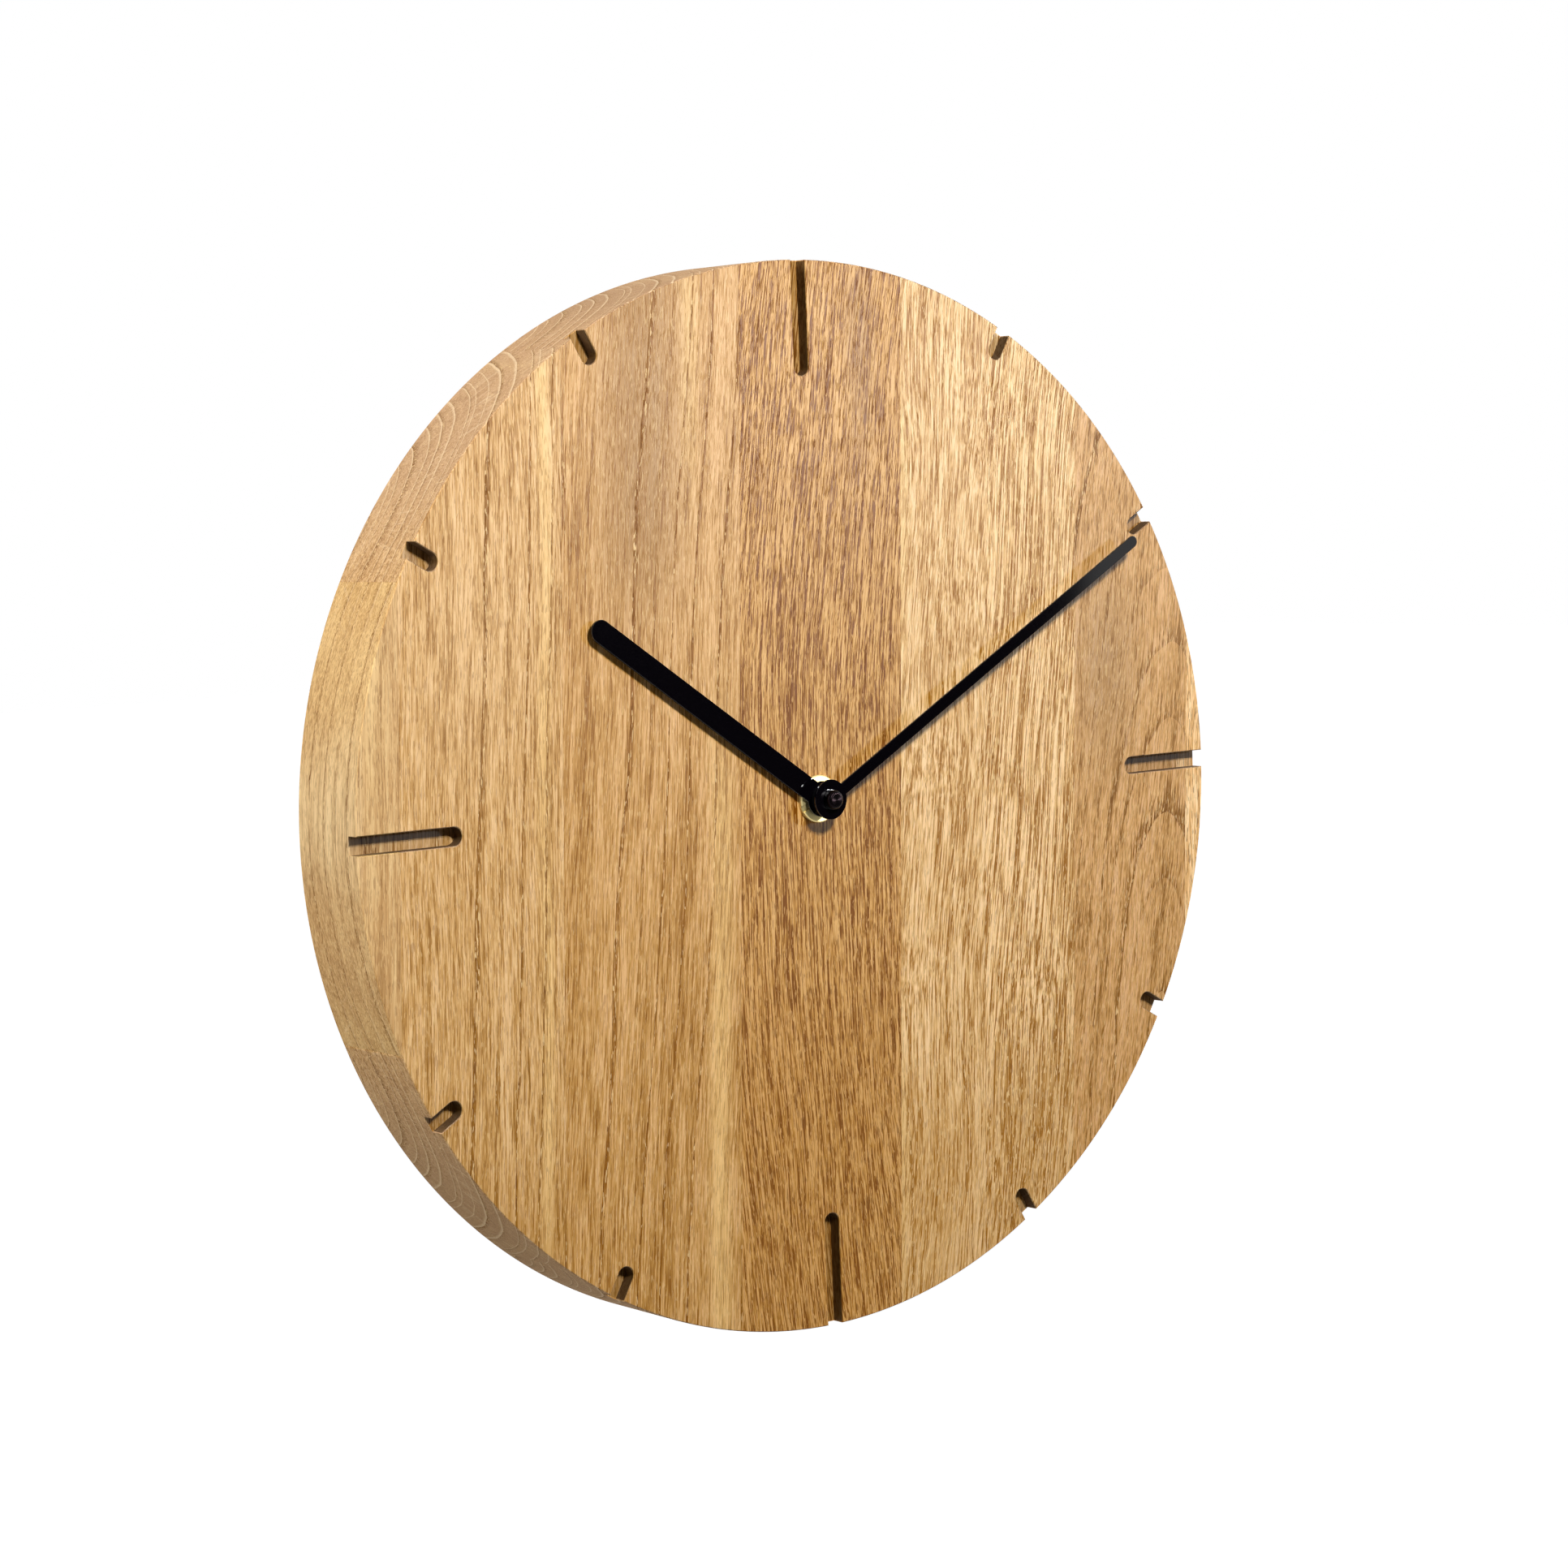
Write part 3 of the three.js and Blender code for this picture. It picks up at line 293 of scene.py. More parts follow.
def growth_rings(tree, fibre, seed, pith, ring, lean, rake):
    """Each year's spring wood, the pale line that ends it, its porous edge, and the rays from the heart."""
    across = add(tree, "VectorMath", (fibre, (1, 0, lean)), operation="DOT_PRODUCT")
    deep = add(tree, "VectorMath", (fibre, (0, 1, rake)), operation="DOT_PRODUCT")
    section = add(tree, "CombineXYZ", (across, deep))
    spoke = add(tree, "VectorMath", (section, (*pith, 0)), operation="SUBTRACT")
    from_pith = add(tree, "VectorMath", (spoke,), operation="LENGTH")
    years = add(tree, "Math", (from_pith, ring), operation="DIVIDE")
    weather = add(tree, "TexNoise", {"W": years, "Scale": 0.4}, noise_dimensions="1D")
    years = add(tree, "Math", (weather, 2.5, years), operation="MULTIPLY_ADD")
    season = add(tree, "Math", (years,), operation="FRACT")
    year = add(tree, "Math", (years,), operation="FLOOR")
    luck = add(tree, "TexWhiteNoise", {"W": year}, noise_dimensions="1D")
    vigour = add(tree, "MapRange", (luck, 0.25, 0.95, 0.05, 1), **SMOOTH)
    early = add(tree, "MapRange", (season, 0.03, 0.38, 1, 0), **SMOOTH)
    spring = add(tree, "Math", (early, vigour), operation="MULTIPLY")
    ring_line = add(tree, "MapRange", (season, 0.84, 0.95), **SMOOTH)

    first = add(tree, "MapRange", (season, 0.02, 0.1, 1, 0), **SMOOTH)
    breaks = add(tree, "MapRange", (field(tree, fibre, BREAK_SIZE, seed + 23), 0.42, 0.56), **SMOOTH)
    whole_edge = add(tree, "Math", (first, vigour), operation="MULTIPLY")
    ring_edge = add(tree, "Math", (whole_edge, breaks), operation="MULTIPLY")

    x, y, _ = add(tree, "SeparateXYZ", (spoke,)).outputs
    bearing = add(tree, "Math", (y, x), operation="ARCTAN2")
    ray_place = add(tree, "CombineXYZ", (bearing, from_pith))
    rays = add(tree, "MapRange", (field(tree, ray_place, RAY_SIZE, seed + 21, 1), 0.6, 0.7), **SMOOTH)
    return spring, ring_line, ring_edge, rays


def fine_grain(tree, fibre, seed, spring, ring_edge, lines, run, quiet, streaks, rings):
    """The level of the tone from dark to light, the open pores and the pale flecks."""
    busy = add(tree, "MapRange", (spring, 0, 1, quiet, 1), **SMOOTH)
    line = field(tree, fibre, (LINE_WIDTH, LINE_WIDTH, run), seed + 11, 2, 0.8)
    streak = field(tree, fibre, STREAK_SIZE, seed + 13, 1)
    tone = field(tree, fibre, TONE_SIZE, seed + 15, 1)
    swing = add(tree, "Math", (line, lines, -lines / 2), operation="MULTIPLY_ADD")
    base = 0.42 - streaks / 2 + rings / 6
    level = add(tree, "Math", (swing, busy, base), operation="MULTIPLY_ADD")
    for pattern, strength in ((streak, streaks), (tone, 0.12), (spring, -rings)):
        level = add(tree, "Math", (pattern, strength, level), operation="MULTIPLY_ADD")

    spots = []
    for size, shift, threshold in ((PORE_SIZE, 17, 0.57), (FLECK_SIZE, 19, 0.6)):
        pattern = field(tree, fibre, size, seed + shift, 1)
        spot = add(tree, "MapRange", (pattern, threshold, threshold + 0.04), **SMOOTH)
        spots.append(add(tree, "Math", (spot, busy), operation="MULTIPLY"))
    pores, flecks = spots
    edge_pores = add(tree, "Math", (ring_edge, 0.6), operation="MULTIPLY")
    return level, add(tree, "Math", (pores, edge_pores), operation="MAXIMUM"), flecks


def figure_and_painted_shade_layers(tree, x, height, level, figures_and_painted_shade):
    """Streaks of another tone, and painted shade low on the face, each as its tone and how far it covers."""
    layers = []
    for centre, reach, bottom, top, shade, strength in figures_and_painted_shade:
        offset = add(tree, "Math", (x, centre), operation="SUBTRACT")
        away = add(tree, "Math", (offset,), operation="ABSOLUTE")
        cover = add(tree, "MapRange", (away, 0, 1.2 * reach, 1, 0), **SMOOTH)
        for limits in ((height, bottom - FIGURE_FADE, bottom + FIGURE_FADE),
                       (height, top - FIGURE_FADE, top + FIGURE_FADE, 1, 0),
                       (level, 0.3, 0.7, 0.35 * strength, 1.1 * strength)):
            share = add(tree, "MapRange", limits, **SMOOTH)
            cover = add(tree, "Math", (cover, share), operation="MULTIPLY")
        layers.append((shade, cover))
    return layers


def end_layers(tree, end_grain, end, spring, ring_line, rays):
    """Cut ends are darker and greyer, with the rings as thin pale lines and the rays as finer ones across."""
    layers = []
    for shade, pattern, strength in ((end, 1, 0.7), (END_DARK_COLOUR, spring, 0.5),
                                     (END_LINE_COLOUR, ring_line, 0.5), (END_LINE_COLOUR, rays, 0.4)):
        share = add(tree, "Math", (end_grain, pattern), operation="MULTIPLY")
        layers.append((shade, add(tree, "Math", (share, strength), operation="MULTIPLY")))
    return layers


def router_scorch_and_painted_shade(tree, place, grain):
    """Router scorch and painted shade: most on the walls, and more on floors that run with the grain."""
    face, depth = FACE / MM, MARK_DEPTH / MM
    _, y, z = add(tree, "SeparateXYZ", (grain,)).outputs
    flat = add(tree, "VectorMath", (grain, (1, 0, 1)), operation="MULTIPLY")
    radius = add(tree, "VectorMath", (flat,), operation="LENGTH")
    under_face = add(tree, "MapRange", (y, 0.02 - face, 0.1 - face), **SMOOTH)
    over_floor = add(tree, "MapRange", (y, depth + 0.5 - face, depth + 1 - face, 1, 0), **SMOOTH)
    within_rim = add(tree, "Math", (radius, BOARD_RADIUS / MM - 0.3), operation="LESS_THAN")
    layer = add(tree, "Math", (under_face, over_floor), operation="MULTIPLY")
    cut = add(tree, "Math", (layer, within_rim), operation="MULTIPLY")

    rise = add(tree, "Math", (z, radius), operation="DIVIDE")
    with_grain = add(tree, "Math", (rise,), operation="ABSOLUTE")
    floor_burn_and_shade = add(tree, "MapRange", (with_grain, 0.1, 0.9, 0.25, 0.4), **SMOOTH)
    facing = add(tree, "SeparateXYZ", (place.outputs["Normal"],)).outputs["Y"]
    flatness = add(tree, "Math", (facing,), operation="ABSOLUTE")
    # Painted shade: the walls are darkened most, so that little light bounces onto the shadowed floors
    wall_burn_and_shade = add(tree, "MapRange", (flatness, 0.3, 0.8, 0.85, 0), **SMOOTH)
    burn_and_shade = add(tree, "Math", (floor_burn_and_shade, wall_burn_and_shade), operation="MAXIMUM")
    return add(tree, "Math", (cut, burn_and_shade), operation="MULTIPLY")


def oak(number, dark, medium, light, pith, ring, lean=0, rake=0, slant=0, bow=0, sway=3, wave=0.5, lines=3,
        run=15, quiet=0.4, streaks=0.4, rings=0.08, porous=0.85, fleck="f0cf95", end=END_COLOUR, figures_and_painted_shade=()):
    material, tree, shader = blank_material(f"oiled_oak_{number}", IOR=1.5, Specular_IOR_Level=0.1)
    seed = STAVE_SEED * number
    place = add(tree, "TexCoord")
    grain = add(tree, "Mapping", {
        "Vector": place.outputs["Object"], "Rotation": (0, -GRAIN_TILT, 0), "Scale": (1 / MM,) * 3})
    x, height, fibre = lay_of_fibres(tree, grain, seed, sway, wave, bow, slant)
    spring, ring_line, ring_edge, rays = growth_rings(tree, fibre, seed, pith, ring, lean, rake)
    level, pores, flecks = fine_grain(tree, fibre, seed, spring, ring_edge, lines, run, quiet, streaks, rings)
    along = (math.sin(GRAIN_TILT), 0, math.cos(GRAIN_TILT))
    slope = add(tree, "VectorMath", (place.outputs["Normal"], along), operation="DOT_PRODUCT")
    steepness = add(tree, "Math", (slope,), operation="ABSOLUTE")
    end_grain = add(tree, "MapRange", (steepness, 0.2, 0.65), **SMOOTH)

    colour = add(tree, "ValToRGB", (level,))
    stops = colour.color_ramp.elements
    stops[0].position, stops[0].color = 0.3, linear(dark)
    stops[1].position, stops[1].color = 0.7, linear(light)
    stops.new(0.5).color = linear(medium)
    layers = [
        *figure_and_painted_shade_layers(tree, x, height, level, figures_and_painted_shade),
        *end_layers(tree, end_grain, end, spring, ring_line, rays),
        (PORE_COLOUR, add(tree, "Math", (pores, porous), operation="MULTIPLY")),
        (fleck, add(tree, "Math", (flecks, 0.7), operation="MULTIPLY")),
        (SCORCH_AND_SHADE_COLOUR, router_scorch_and_painted_shade(tree, place, grain))]
    for shade, cover in layers:
        colour = add(tree, "Mix", {"Factor": cover, "A": colour, "B": linear(shade)}, data_type="RGBA")

    long_grain_rough = add(tree, "Math", (pores, 0.25, 0.42), operation="MULTIPLY_ADD")
    rough = add(tree, "Math", (end_grain, 0.4, long_grain_rough), operation="MULTIPLY_ADD")
    relief = add(tree, "Math", (level, pores), operation="SUBTRACT")
    bump = add(tree, "Bump", {"Height": relief, "Strength": 0.3, "Distance": GRAIN_RELIEF * MM})
    feed(tree, shader, {"Base Color": colour, "Roughness": rough, "Normal": bump})
    return material


# Each stave's tones, the place of its heart in millimetres across the board and in depth, its ring width, the
# lean and rake of its rings, the slant, bow and sway of its fibres, the strength and run of its lines, how
# far its rings, streaks and pores show, the tones of its flecks and cut ends, and its figures and painted
# shade: middle, reach, bottom, top, tone and strength. Figures are streaks of another tone in the oak; those
# that start at -200, below the board, are painted shade, which makes the lower face darker and more
# saturated where the light falls off and the sheen fades.
SMOKE = "8f6732"
SAPWOOD = "e9c17e"
STAVES = [
    dict(dark="9a713e", medium="c0955e", light="dab67f", pith=(-152, -75), ring=4.5, lines=2, run=25,
         rings=0.25, end="c8a468",
         figures_and_painted_shade=[(-143, 5, 5, 120, "e6c387", 0.45), (-152, 6, -22, 75, "f8dcaa", 1)]),
    dict(dark="8e5e1a", medium="c39555", light="deb682", pith=(-130, 6), ring=3.3, lean=-0.03, rings=0.32,
         figures_and_painted_shade=[(-90, 3, -140, 140, SAPWOOD, 0.6), (-115, 25, 10, 70, "e2bd8c", 0.3),
                  # Painted shade: this last figure makes the lower face darker and more saturated
                  (-110, 45, -200, -105, "a06a0c", 0.65)]),
    dict(dark="88550f", medium="ba8a46", light="d8ab74", pith=(-90, 6), ring=3.6, lean=-0.02, slant=0.05,
         lines=3.2, quiet=0.35, rings=0.32,
         figures_and_painted_shade=[(-32, 5, -160, 20, SAPWOOD, 0.65), (-42, 4, 90, 160, SAPWOOD, 0.6),
                  (-58, 20, 55, 160, SMOKE, 0.75)]),
    dict(dark="764206", medium="b9853c", light="d5a668", pith=(60, -10), ring=3, bow=0.0005, sway=5,
         quiet=0.8, streaks=0.15, rings=0.12, porous=0.7, run=20, fleck="dcac68",
         # Painted shade: the last figure makes the lower face darker and more saturated
         figures_and_painted_shade=[(18, 7, 100, 150, "94704a", 0.5), (0, 60, -200, -60, "a8701c", 0.25)]),
    dict(dark="966218", medium="d4a767", light="efcb99", pith=(160, -30), ring=4.5, lean=0.12, slant=0.06,
         sway=8, lines=2.8, run=20, quiet=0.65, rings=0.2, porous=0.45,
         # Painted shade: the last figure makes the lower face darker and more saturated
         figures_and_painted_shade=[(34, 3.5, -150, 150, "e9c483", 0.6), (46, 30, -200, -85, "b07c28", 0.4)]),
    dict(dark="945f16", medium="d9ac69", light="f6d09d", pith=(170, -50), ring=1.8, slant=0.09, sway=5,
         lines=3.1, run=40, quiet=0.9, streaks=0.25, porous=0.45,
         # Painted shade: this figure makes the lower face darker and more saturated
         figures_and_painted_shade=[(80, 35, -200, -75, "a87418", 0.5)]),
    dict(dark="845510", medium="c89757", light="dcae7c", pith=(137, -46), ring=4.2, lean=0.1, rake=0.19,
         slant=0.1, sway=6, lines=2.8, run=9, rings=0.2,
         # Painted shade: the last figure makes the lower face darker and more saturated
         figures_and_painted_shade=[(112, 18, 10, 60, "957650", 0.55), (115, 40, -200, -60, "b07a2e", 0.15)]),
    dict(dark="d4a15f", medium="f4c78d", light="fdddaa", pith=(190, -40), ring=2.6, quiet=0.7),
]


def two_tone(tree, shader, pattern, tones, rough, strength, relief, spread=(0, 1)):
    """Gives a surface two tones, a range of roughness and a relief in millimetres, all by one pattern.

    Returns the colour, so that more can be laid over it.
    """
    colour = add(tree, "Mix", {"Factor": pattern, "A": linear(tones[0]), "B": linear(tones[1])},
                 data_type="RGBA")
    shine = add(tree, "MapRange", (pattern, *spread, *rough))
    bump = add(tree, "Bump", {"Height": pattern, "Strength": strength, "Distance": relief * MM})
    feed(tree, shader, {"Base Color": colour, "Roughness": shine, "Normal": bump})
    return colour


def finish(name, tones, patch, rough, relief, **sockets):
    """A material that drifts between two tones over patches of a size in millimetres, with its own relief."""
    material, tree, shader = blank_material(name, **sockets)
    place = add(tree, "TexCoord")
    mottle = add(tree, "TexNoise", {
        "Vector": place.outputs["Object"], "Scale": 1 / (patch * MM), "Detail": 4, "Roughness": 0.6})
    two_tone(tree, shader, mottle, tones, rough, 0.5, relief, (0.3, 0.7))
    return material


# Hands: sheet aluminium, stamped and sprayed with gloss enamel, which is black with a mirror-like shine
def black_enamel():
    return finish("black_enamel", ("020104", "050306"), 0.4, (0.04, 0.07), 0.0005,
                  IOR=1.5, Specular_IOR_Level=0.4)


# Collets of the hands: brass tubes blackened in a bath, which leaves them dull
def black_oxide():
    return finish("black_oxide", ("030304", "08070a"), 0.4, (0.65, 0.75), 0.001,
                  IOR=1.5, Specular_IOR_Level=0.05)


# Cap nut: blackened brass, whose lathe marks run round its axis and draw each highlight out across them
def blackened_brass():
    material = finish("blackened_brass", ("0a0708", "150f11"), 0.5, (0.24, 0.32), 0.001,
                      Metallic=1, Anisotropic=0.9)
    tree = material.node_tree
    turned = add(tree, "Tangent", direction_type="RADIAL", axis="Y")
    feed(tree, tree.nodes["Principled BSDF"], {"Tangent": turned})
    return material


# Hanger and screws: steel with bright zinc, clouded in soft patches and dulled by handling
def zinc_plate():
    return finish("zinc_plated_steel", ("9aa0a6", "c0c3c3"), 3, (0.28, 0.46), 0.004, Metallic=1)


# Contacts, stator, core and crystal can: nickel-plated strip, a little warmer and brighter than zinc
def nickel_plate():
    return finish("nickel_plated_steel", ("bdb8ae", "d2cdc2"), 1.2, (0.2, 0.34), 0.002, Metallic=1)


# Movement case, cover and knob: black moulded plastic with the fine grain of a spark-eroded mould
def black_abs():
    return finish("moulded_black_abs", ("141416", "202023"), 0.35, (0.42, 0.62), 0.02, IOR=1.53)


# Wheels, train plate and bobbin: natural acetal, milky white and slightly waxy
def white_acetal():
    return finish("natural_acetal", ("dedbd0", "efede5"), 2, (0.32, 0.45), 0.006, IOR=1.48)


# Washer between the case and the board: soft black rubber, dull all over
def black_rubber():
    return finish("black_rubber", ("0f0f10", "1c1c1c"), 0.5, (0.75, 0.92), 0.03, IOR=1.52)


# Rotor: sintered ferrite, dark grey with a fine powdery grain
def grey_ferrite():
    return finish("sintered_ferrite", ("29292c", "3c3b3e"), 0.3, (0.5, 0.7), 0.02, IOR=2.3)


# Circuit board: brown paper laminate, mottled by its fibres
def paper_laminate():
    return finish("phenolic_paper_laminate", ("8a5f2c", "a87a42"), 0.8, (0.45, 0.6), 0.008, IOR=1.55)


# Drop over the chip: black epoxy that set with a smooth, slightly wavy skin
def black_epoxy():
    return finish("black_epoxy", ("070708", "101011"), 2.5, (0.12, 0.22), 0.03, IOR=1.56)


# Coil: enamelled copper, in glossy turns that lie side by side. The wire is 0.02 mm thick on the real coil,
# and its turns are drawn about 1.3 mm wide so that they show. The wave texture goes through 20 radians in
# each unit of its place.
COIL_TURN = 0.4 * math.pi
WAVE_RADIANS = 20


def enamelled_copper():
    material, tree, shader = blank_material("enamelled_copper", Metallic=1)
    place = add(tree, "TexCoord")
    scale = FULL_TURN / (WAVE_RADIANS * COIL_TURN * MM)
    turns = add(tree, "TexWave", {"Vector": place.outputs["Object"], "Scale": scale, "Distortion": 0.6},
                bands_direction="Z", wave_profile="SIN")
    two_tone(tree, shader, turns, ("8c4a24", "c9804a"), (0.4, 0.24), 0.5, 0.05)
    return material


# Dry cell: a lacquered steel jacket, graphite with a copper band at its plus end, and bare steel at both
# ends. Fine scuffs vary its shine.
SCUFF_SIZE = 1.5
COPPER_BAND = 13
BARE_END = 0.5


def cell_lacquer(left, right):
    material, tree, shader = blank_material("lacquered_cell_steel", Coat_Weight=0.4, Coat_Roughness=0.12)
    place = add(tree, "TexCoord")
    along = add(tree, "SeparateXYZ", (place.outputs["Object"],)).outputs["X"]
    scuffs = add(tree, "TexNoise", {
        "Vector": place.outputs["Object"], "Scale": 1 / (SCUFF_SIZE * MM), "Detail": 5, "Roughness": 0.7})
    band, past_left, past_right = [
        add(tree, "Math", (along, edge), operation="GREATER_THAN")
        for edge in (right - COPPER_BAND * MM, left + BARE_END * MM, right - BARE_END * MM)]
    at_left = add(tree, "Math", (1, past_left), operation="SUBTRACT")
    bare = add(tree, "Math", (at_left, past_right), operation="MAXIMUM")
    colour = two_tone(tree, shader, scuffs, ("232528", "33363a"), (0.22, 0.42), 0.3, 0.004)
    for shade, cover in (("b0713c", band), ("c3c2bd", bare)):
        colour = add(tree, "Mix", {"Factor": cover, "A": colour, "B": linear(shade)}, data_type="RGBA")
    metal = add(tree, "MapRange", (bare, 0, 1, 0.7, 1))
    feed(tree, shader, {"Base Color": colour, "Metallic": metal})
    return material


# Fixing nut and minute pipe: turned brass, bright, with fine lathe rings
LATHE_RING = 0.25


def turned_brass():
    material, tree, shader = blank_material("turned_brass", Metallic=1)
    place = add(tree, "TexCoord")
    flat = add(tree, "VectorMath", (place.outputs["Object"], (1, 0, 1)), operation="MULTIPLY")
    radius = add(tree, "VectorMath", (flat,), operation="LENGTH")
    turns = add(tree, "Math", (radius, LATHE_RING * MM), operation="DIVIDE")
    marks = add(tree, "TexNoise", {"W": turns, "Scale": 1}, noise_dimensions="1D")
    two_tone(tree, shader, marks, ("c6b378", "d8cb98"), (0.5, 0.62), 0.2, 0.02)
    return material


# Board

def hour_marks():
    """Router cuts with round inner ends that run out through the rim, their edges broken at the face."""
    tools = []
    for hour in range(HOURS):
        length = SHORT_MARK if hour % LONG_MARK_EVERY else LONG_MARK
        degrees = 360 * hour / HOURS
        inner = clock_point(BOARD_RADIUS - length + MARK_WIDTH / 2, degrees)
        outer = clock_point(BOARD_RADIUS + MARK_WIDTH, degrees)
        wide = strip(inner, outer, MARK_WIDTH + 2 * EDGE_BREAK)
        narrow = strip(inner, outer, MARK_WIDTH)
        stack = straight(wide, FACE + OVERCUT, FACE) + straight(narrow, FACE - EDGE_BREAK, FACE - MARK_DEPTH)
        tools.append(solid(f"mark_{hour}", stack))
    return tools


def pocket_outline(grow):
    low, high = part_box("movement_case")
    room = POCKET_ROOM + grow
    return rounded_rectangle(
        (low.x - room, low.z - room), (high.x + room, high.z + room), POCKET_CORNER + grow)


def pocket():
    """The room for the movement, open to the wall, with a broken edge."""
    return solid("pocket", straight(pocket_outline(0), FACE - FRONT_WALL, EDGE_BREAK)
                 + straight(pocket_outline(EDGE_BREAK), 0, -OVERCUT))


KEYHOLE_HEAD = 9.5 * MM
KEYHOLE_SLOT = 5 * MM
KEYHOLE_TRAVEL = 14 * MM
KEYHOLE_DEPTH = 9 * MM
SCREW_HEAD = 6 * MM
SCREW_SHANK = 3 * MM
EASY_FIT = 0.3 * MM
CLOSE_FIT = 0.1 * MM
SEAT = 0.05 * MM
HANGER_WIDTH = 2 * half_width("hanger_plate")
HANGER_FRONT, HANGER_BACK = depths("hanger_plate")
KEYHOLE_LOW = middle("hanger_plate")[1] - KEYHOLE_TRAVEL / 2
KEYHOLE_HIGH = KEYHOLE_LOW + KEYHOLE_TRAVEL
screw_places = {name: middle(name) for name in ("hanger_screw_1", "hanger_screw_2")}


def hanger_outline(grow):
    low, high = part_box("hanger_plate")
    end = HANGER_WIDTH / 2
    return strip((0, low.z + end), (0, high.z - end), HANGER_WIDTH + 2 * grow)


def hanger_recess():
    """The seat of the hanger plate, the room behind its keyhole, and the pilot holes of its screws."""
    head_run = strip((0, KEYHOLE_LOW), (0, KEYHOLE_HIGH), KEYHOLE_HEAD + 2 * EASY_FIT)
    cuts = [(hanger_outline(EASY_FIT), HANGER_FRONT + SEAT), (head_run, HANGER_FRONT + KEYHOLE_DEPTH)]
    for name, spot in screw_places.items():
        tip, _ = depths(name)
        cuts.append((circle(SCREW_SHANK / 2 + CLOSE_FIT, spot), tip + EASY_FIT))
    return [solid("recess", straight(outline, out, -OVERCUT)) for outline, out in cuts]


def board():
    """The round board with broken edges and all its cuts, before it is parted into staves."""
    rim = [(BOARD_RADIUS - EDGE_BREAK, FACE), (BOARD_RADIUS, FACE - EDGE_BREAK), (BOARD_RADIUS, EDGE_BREAK),
           (BOARD_RADIUS - EDGE_BREAK, 0)]
    blank = solid("board", [(circle(radius, steps=BOARD_STEPS), out) for radius, out in rim])
    hole = solid("shaft_hole", straight(circle(SHAFT_HOLE / 2), FACE + OVERCUT, FACE - 2 * FRONT_WALL))
    return reshape(blank, [*hour_marks(), *hanger_recess(), pocket(), hole])


def glue_staves():
    """Parts the board along its glue lines, and gives each stave its own oak."""
    whole = board()
    reach = 2 * BOARD_RADIUS
    edges = [-reach, *GLUE_LINES, reach]
    across = (math.cos(GRAIN_TILT), -math.sin(GRAIN_TILT))
    along = (math.sin(GRAIN_TILT), math.cos(GRAIN_TILT))
    for i, (low, high) in enumerate(zip(edges, edges[1:])):
        corners = [(low + GLUE_GAP / 2, -reach), (high - GLUE_GAP / 2, -reach),
                   (high - GLUE_GAP / 2, reach), (low + GLUE_GAP / 2, reach)]
        outline = [(u * across[0] + w * along[0], u * across[1] + w * along[1]) for u, w in corners]
        slab = solid("slab", straight(outline, FACE + OVERCUT, -OVERCUT))
        stave = whole.copy()
        stave.name = f"stave_{i + 1}"
        bpy.context.scene.collection.objects.link(stave)
        reshape(stave, [slab], "INTERSECT")
        dress(stave, oak(i + 1, **STAVES[i]), "clock_body", f"oak_stave_{i + 1}")
    bpy.data.objects.remove(whole)


# Hands and their fixings

HOUR_HAND = dict(degrees=304.9, reach=92 * MM, width=6.3 * MM, eye=10 * MM, bore=5.1 * MM)
MINUTE_HAND = dict(degrees=60.3, reach=137.3 * MM, width=3.4 * MM, eye=11.2 * MM, bore=2.9 * MM)
HAND_EDGE = 0.05 * MM
TURNED_EDGE = 0.1 * MM
CAP_CROWN = 0.6
CAP_SHOULDER = 0.45
CAP_WALL = 0.9 * MM
CAP_STEPS = 20
CAP_CENTRE = 0.02 * MM
NUT_BORE = 8.2 * MM
NUT_BEVEL = 0.3 * MM
NUT_SLOT_ANGLE = 247
NUT_SLOT_WIDTH = 2 * MM
NUT_SLOT_DEPTH = 0.6 * MM


def hand_outline(degrees, reach, width, eye, inset):
    """A straight hand with a round tip and a round eye, set in all round by the inset."""
    half, radius = width / 2 - inset, eye / 2 - inset
    turn = math.radians(90 - degrees)
    opening = math.asin(half / radius)
    tip = clock_point(reach - width / 2, degrees)
    return (arc((0, 0), radius, turn + opening, turn + FULL_TURN - opening, ROUND_STEPS)
            + arc(tip, half, turn - QUARTER_TURN, turn + QUARTER_TURN, CORNER_STEPS))


def hand(node, body, material, degrees, reach, width, eye, bore):
    """A hand stamped from sheet, with its edges just broken and a hole for its collet."""
    front, back = depths(node)
    levels = [(HAND_EDGE, front), (0, front - HAND_EDGE), (0, back + HAND_EDGE), (HAND_EDGE, back)]
    outer = [(hand_outline(degrees, reach, width, eye, inset), out) for inset, out in levels]
    hole = straight(circle(bore / 2), front, back)
    return dress(solid(f"{node}_sheet", outer, [hole]), material, body, node)


def cap_nut(material):
    """A small turned cap with a flat crown, a round edge and a blind hole that screws on the minute pipe."""
    front, back = depths("cap_nut")
    radius = half_width("cap_nut")
    shoulder = back + CAP_SHOULDER * (front - back)
    crown = CAP_CROWN * radius
    bore = MINUTE_HAND["bore"] / 2
    profile = [(CAP_CENTRE, front)]
    for a in [QUARTER_TURN * i / CAP_STEPS for i in range(CAP_STEPS + 1)]:
        profile.append((crown + (radius - crown) * math.sin(a), shoulder + (front - shoulder) * math.cos(a)))
    profile += [(radius, back + TURNED_EDGE), (radius - TURNED_EDGE, back), (bore, back),
                (bore, front - CAP_WALL)]
    loops = [(circle(r), out) for r, out in profile]
    return dress(solid("cap_nut_turned", loops), material, "minute_hand_set", "cap_nut")


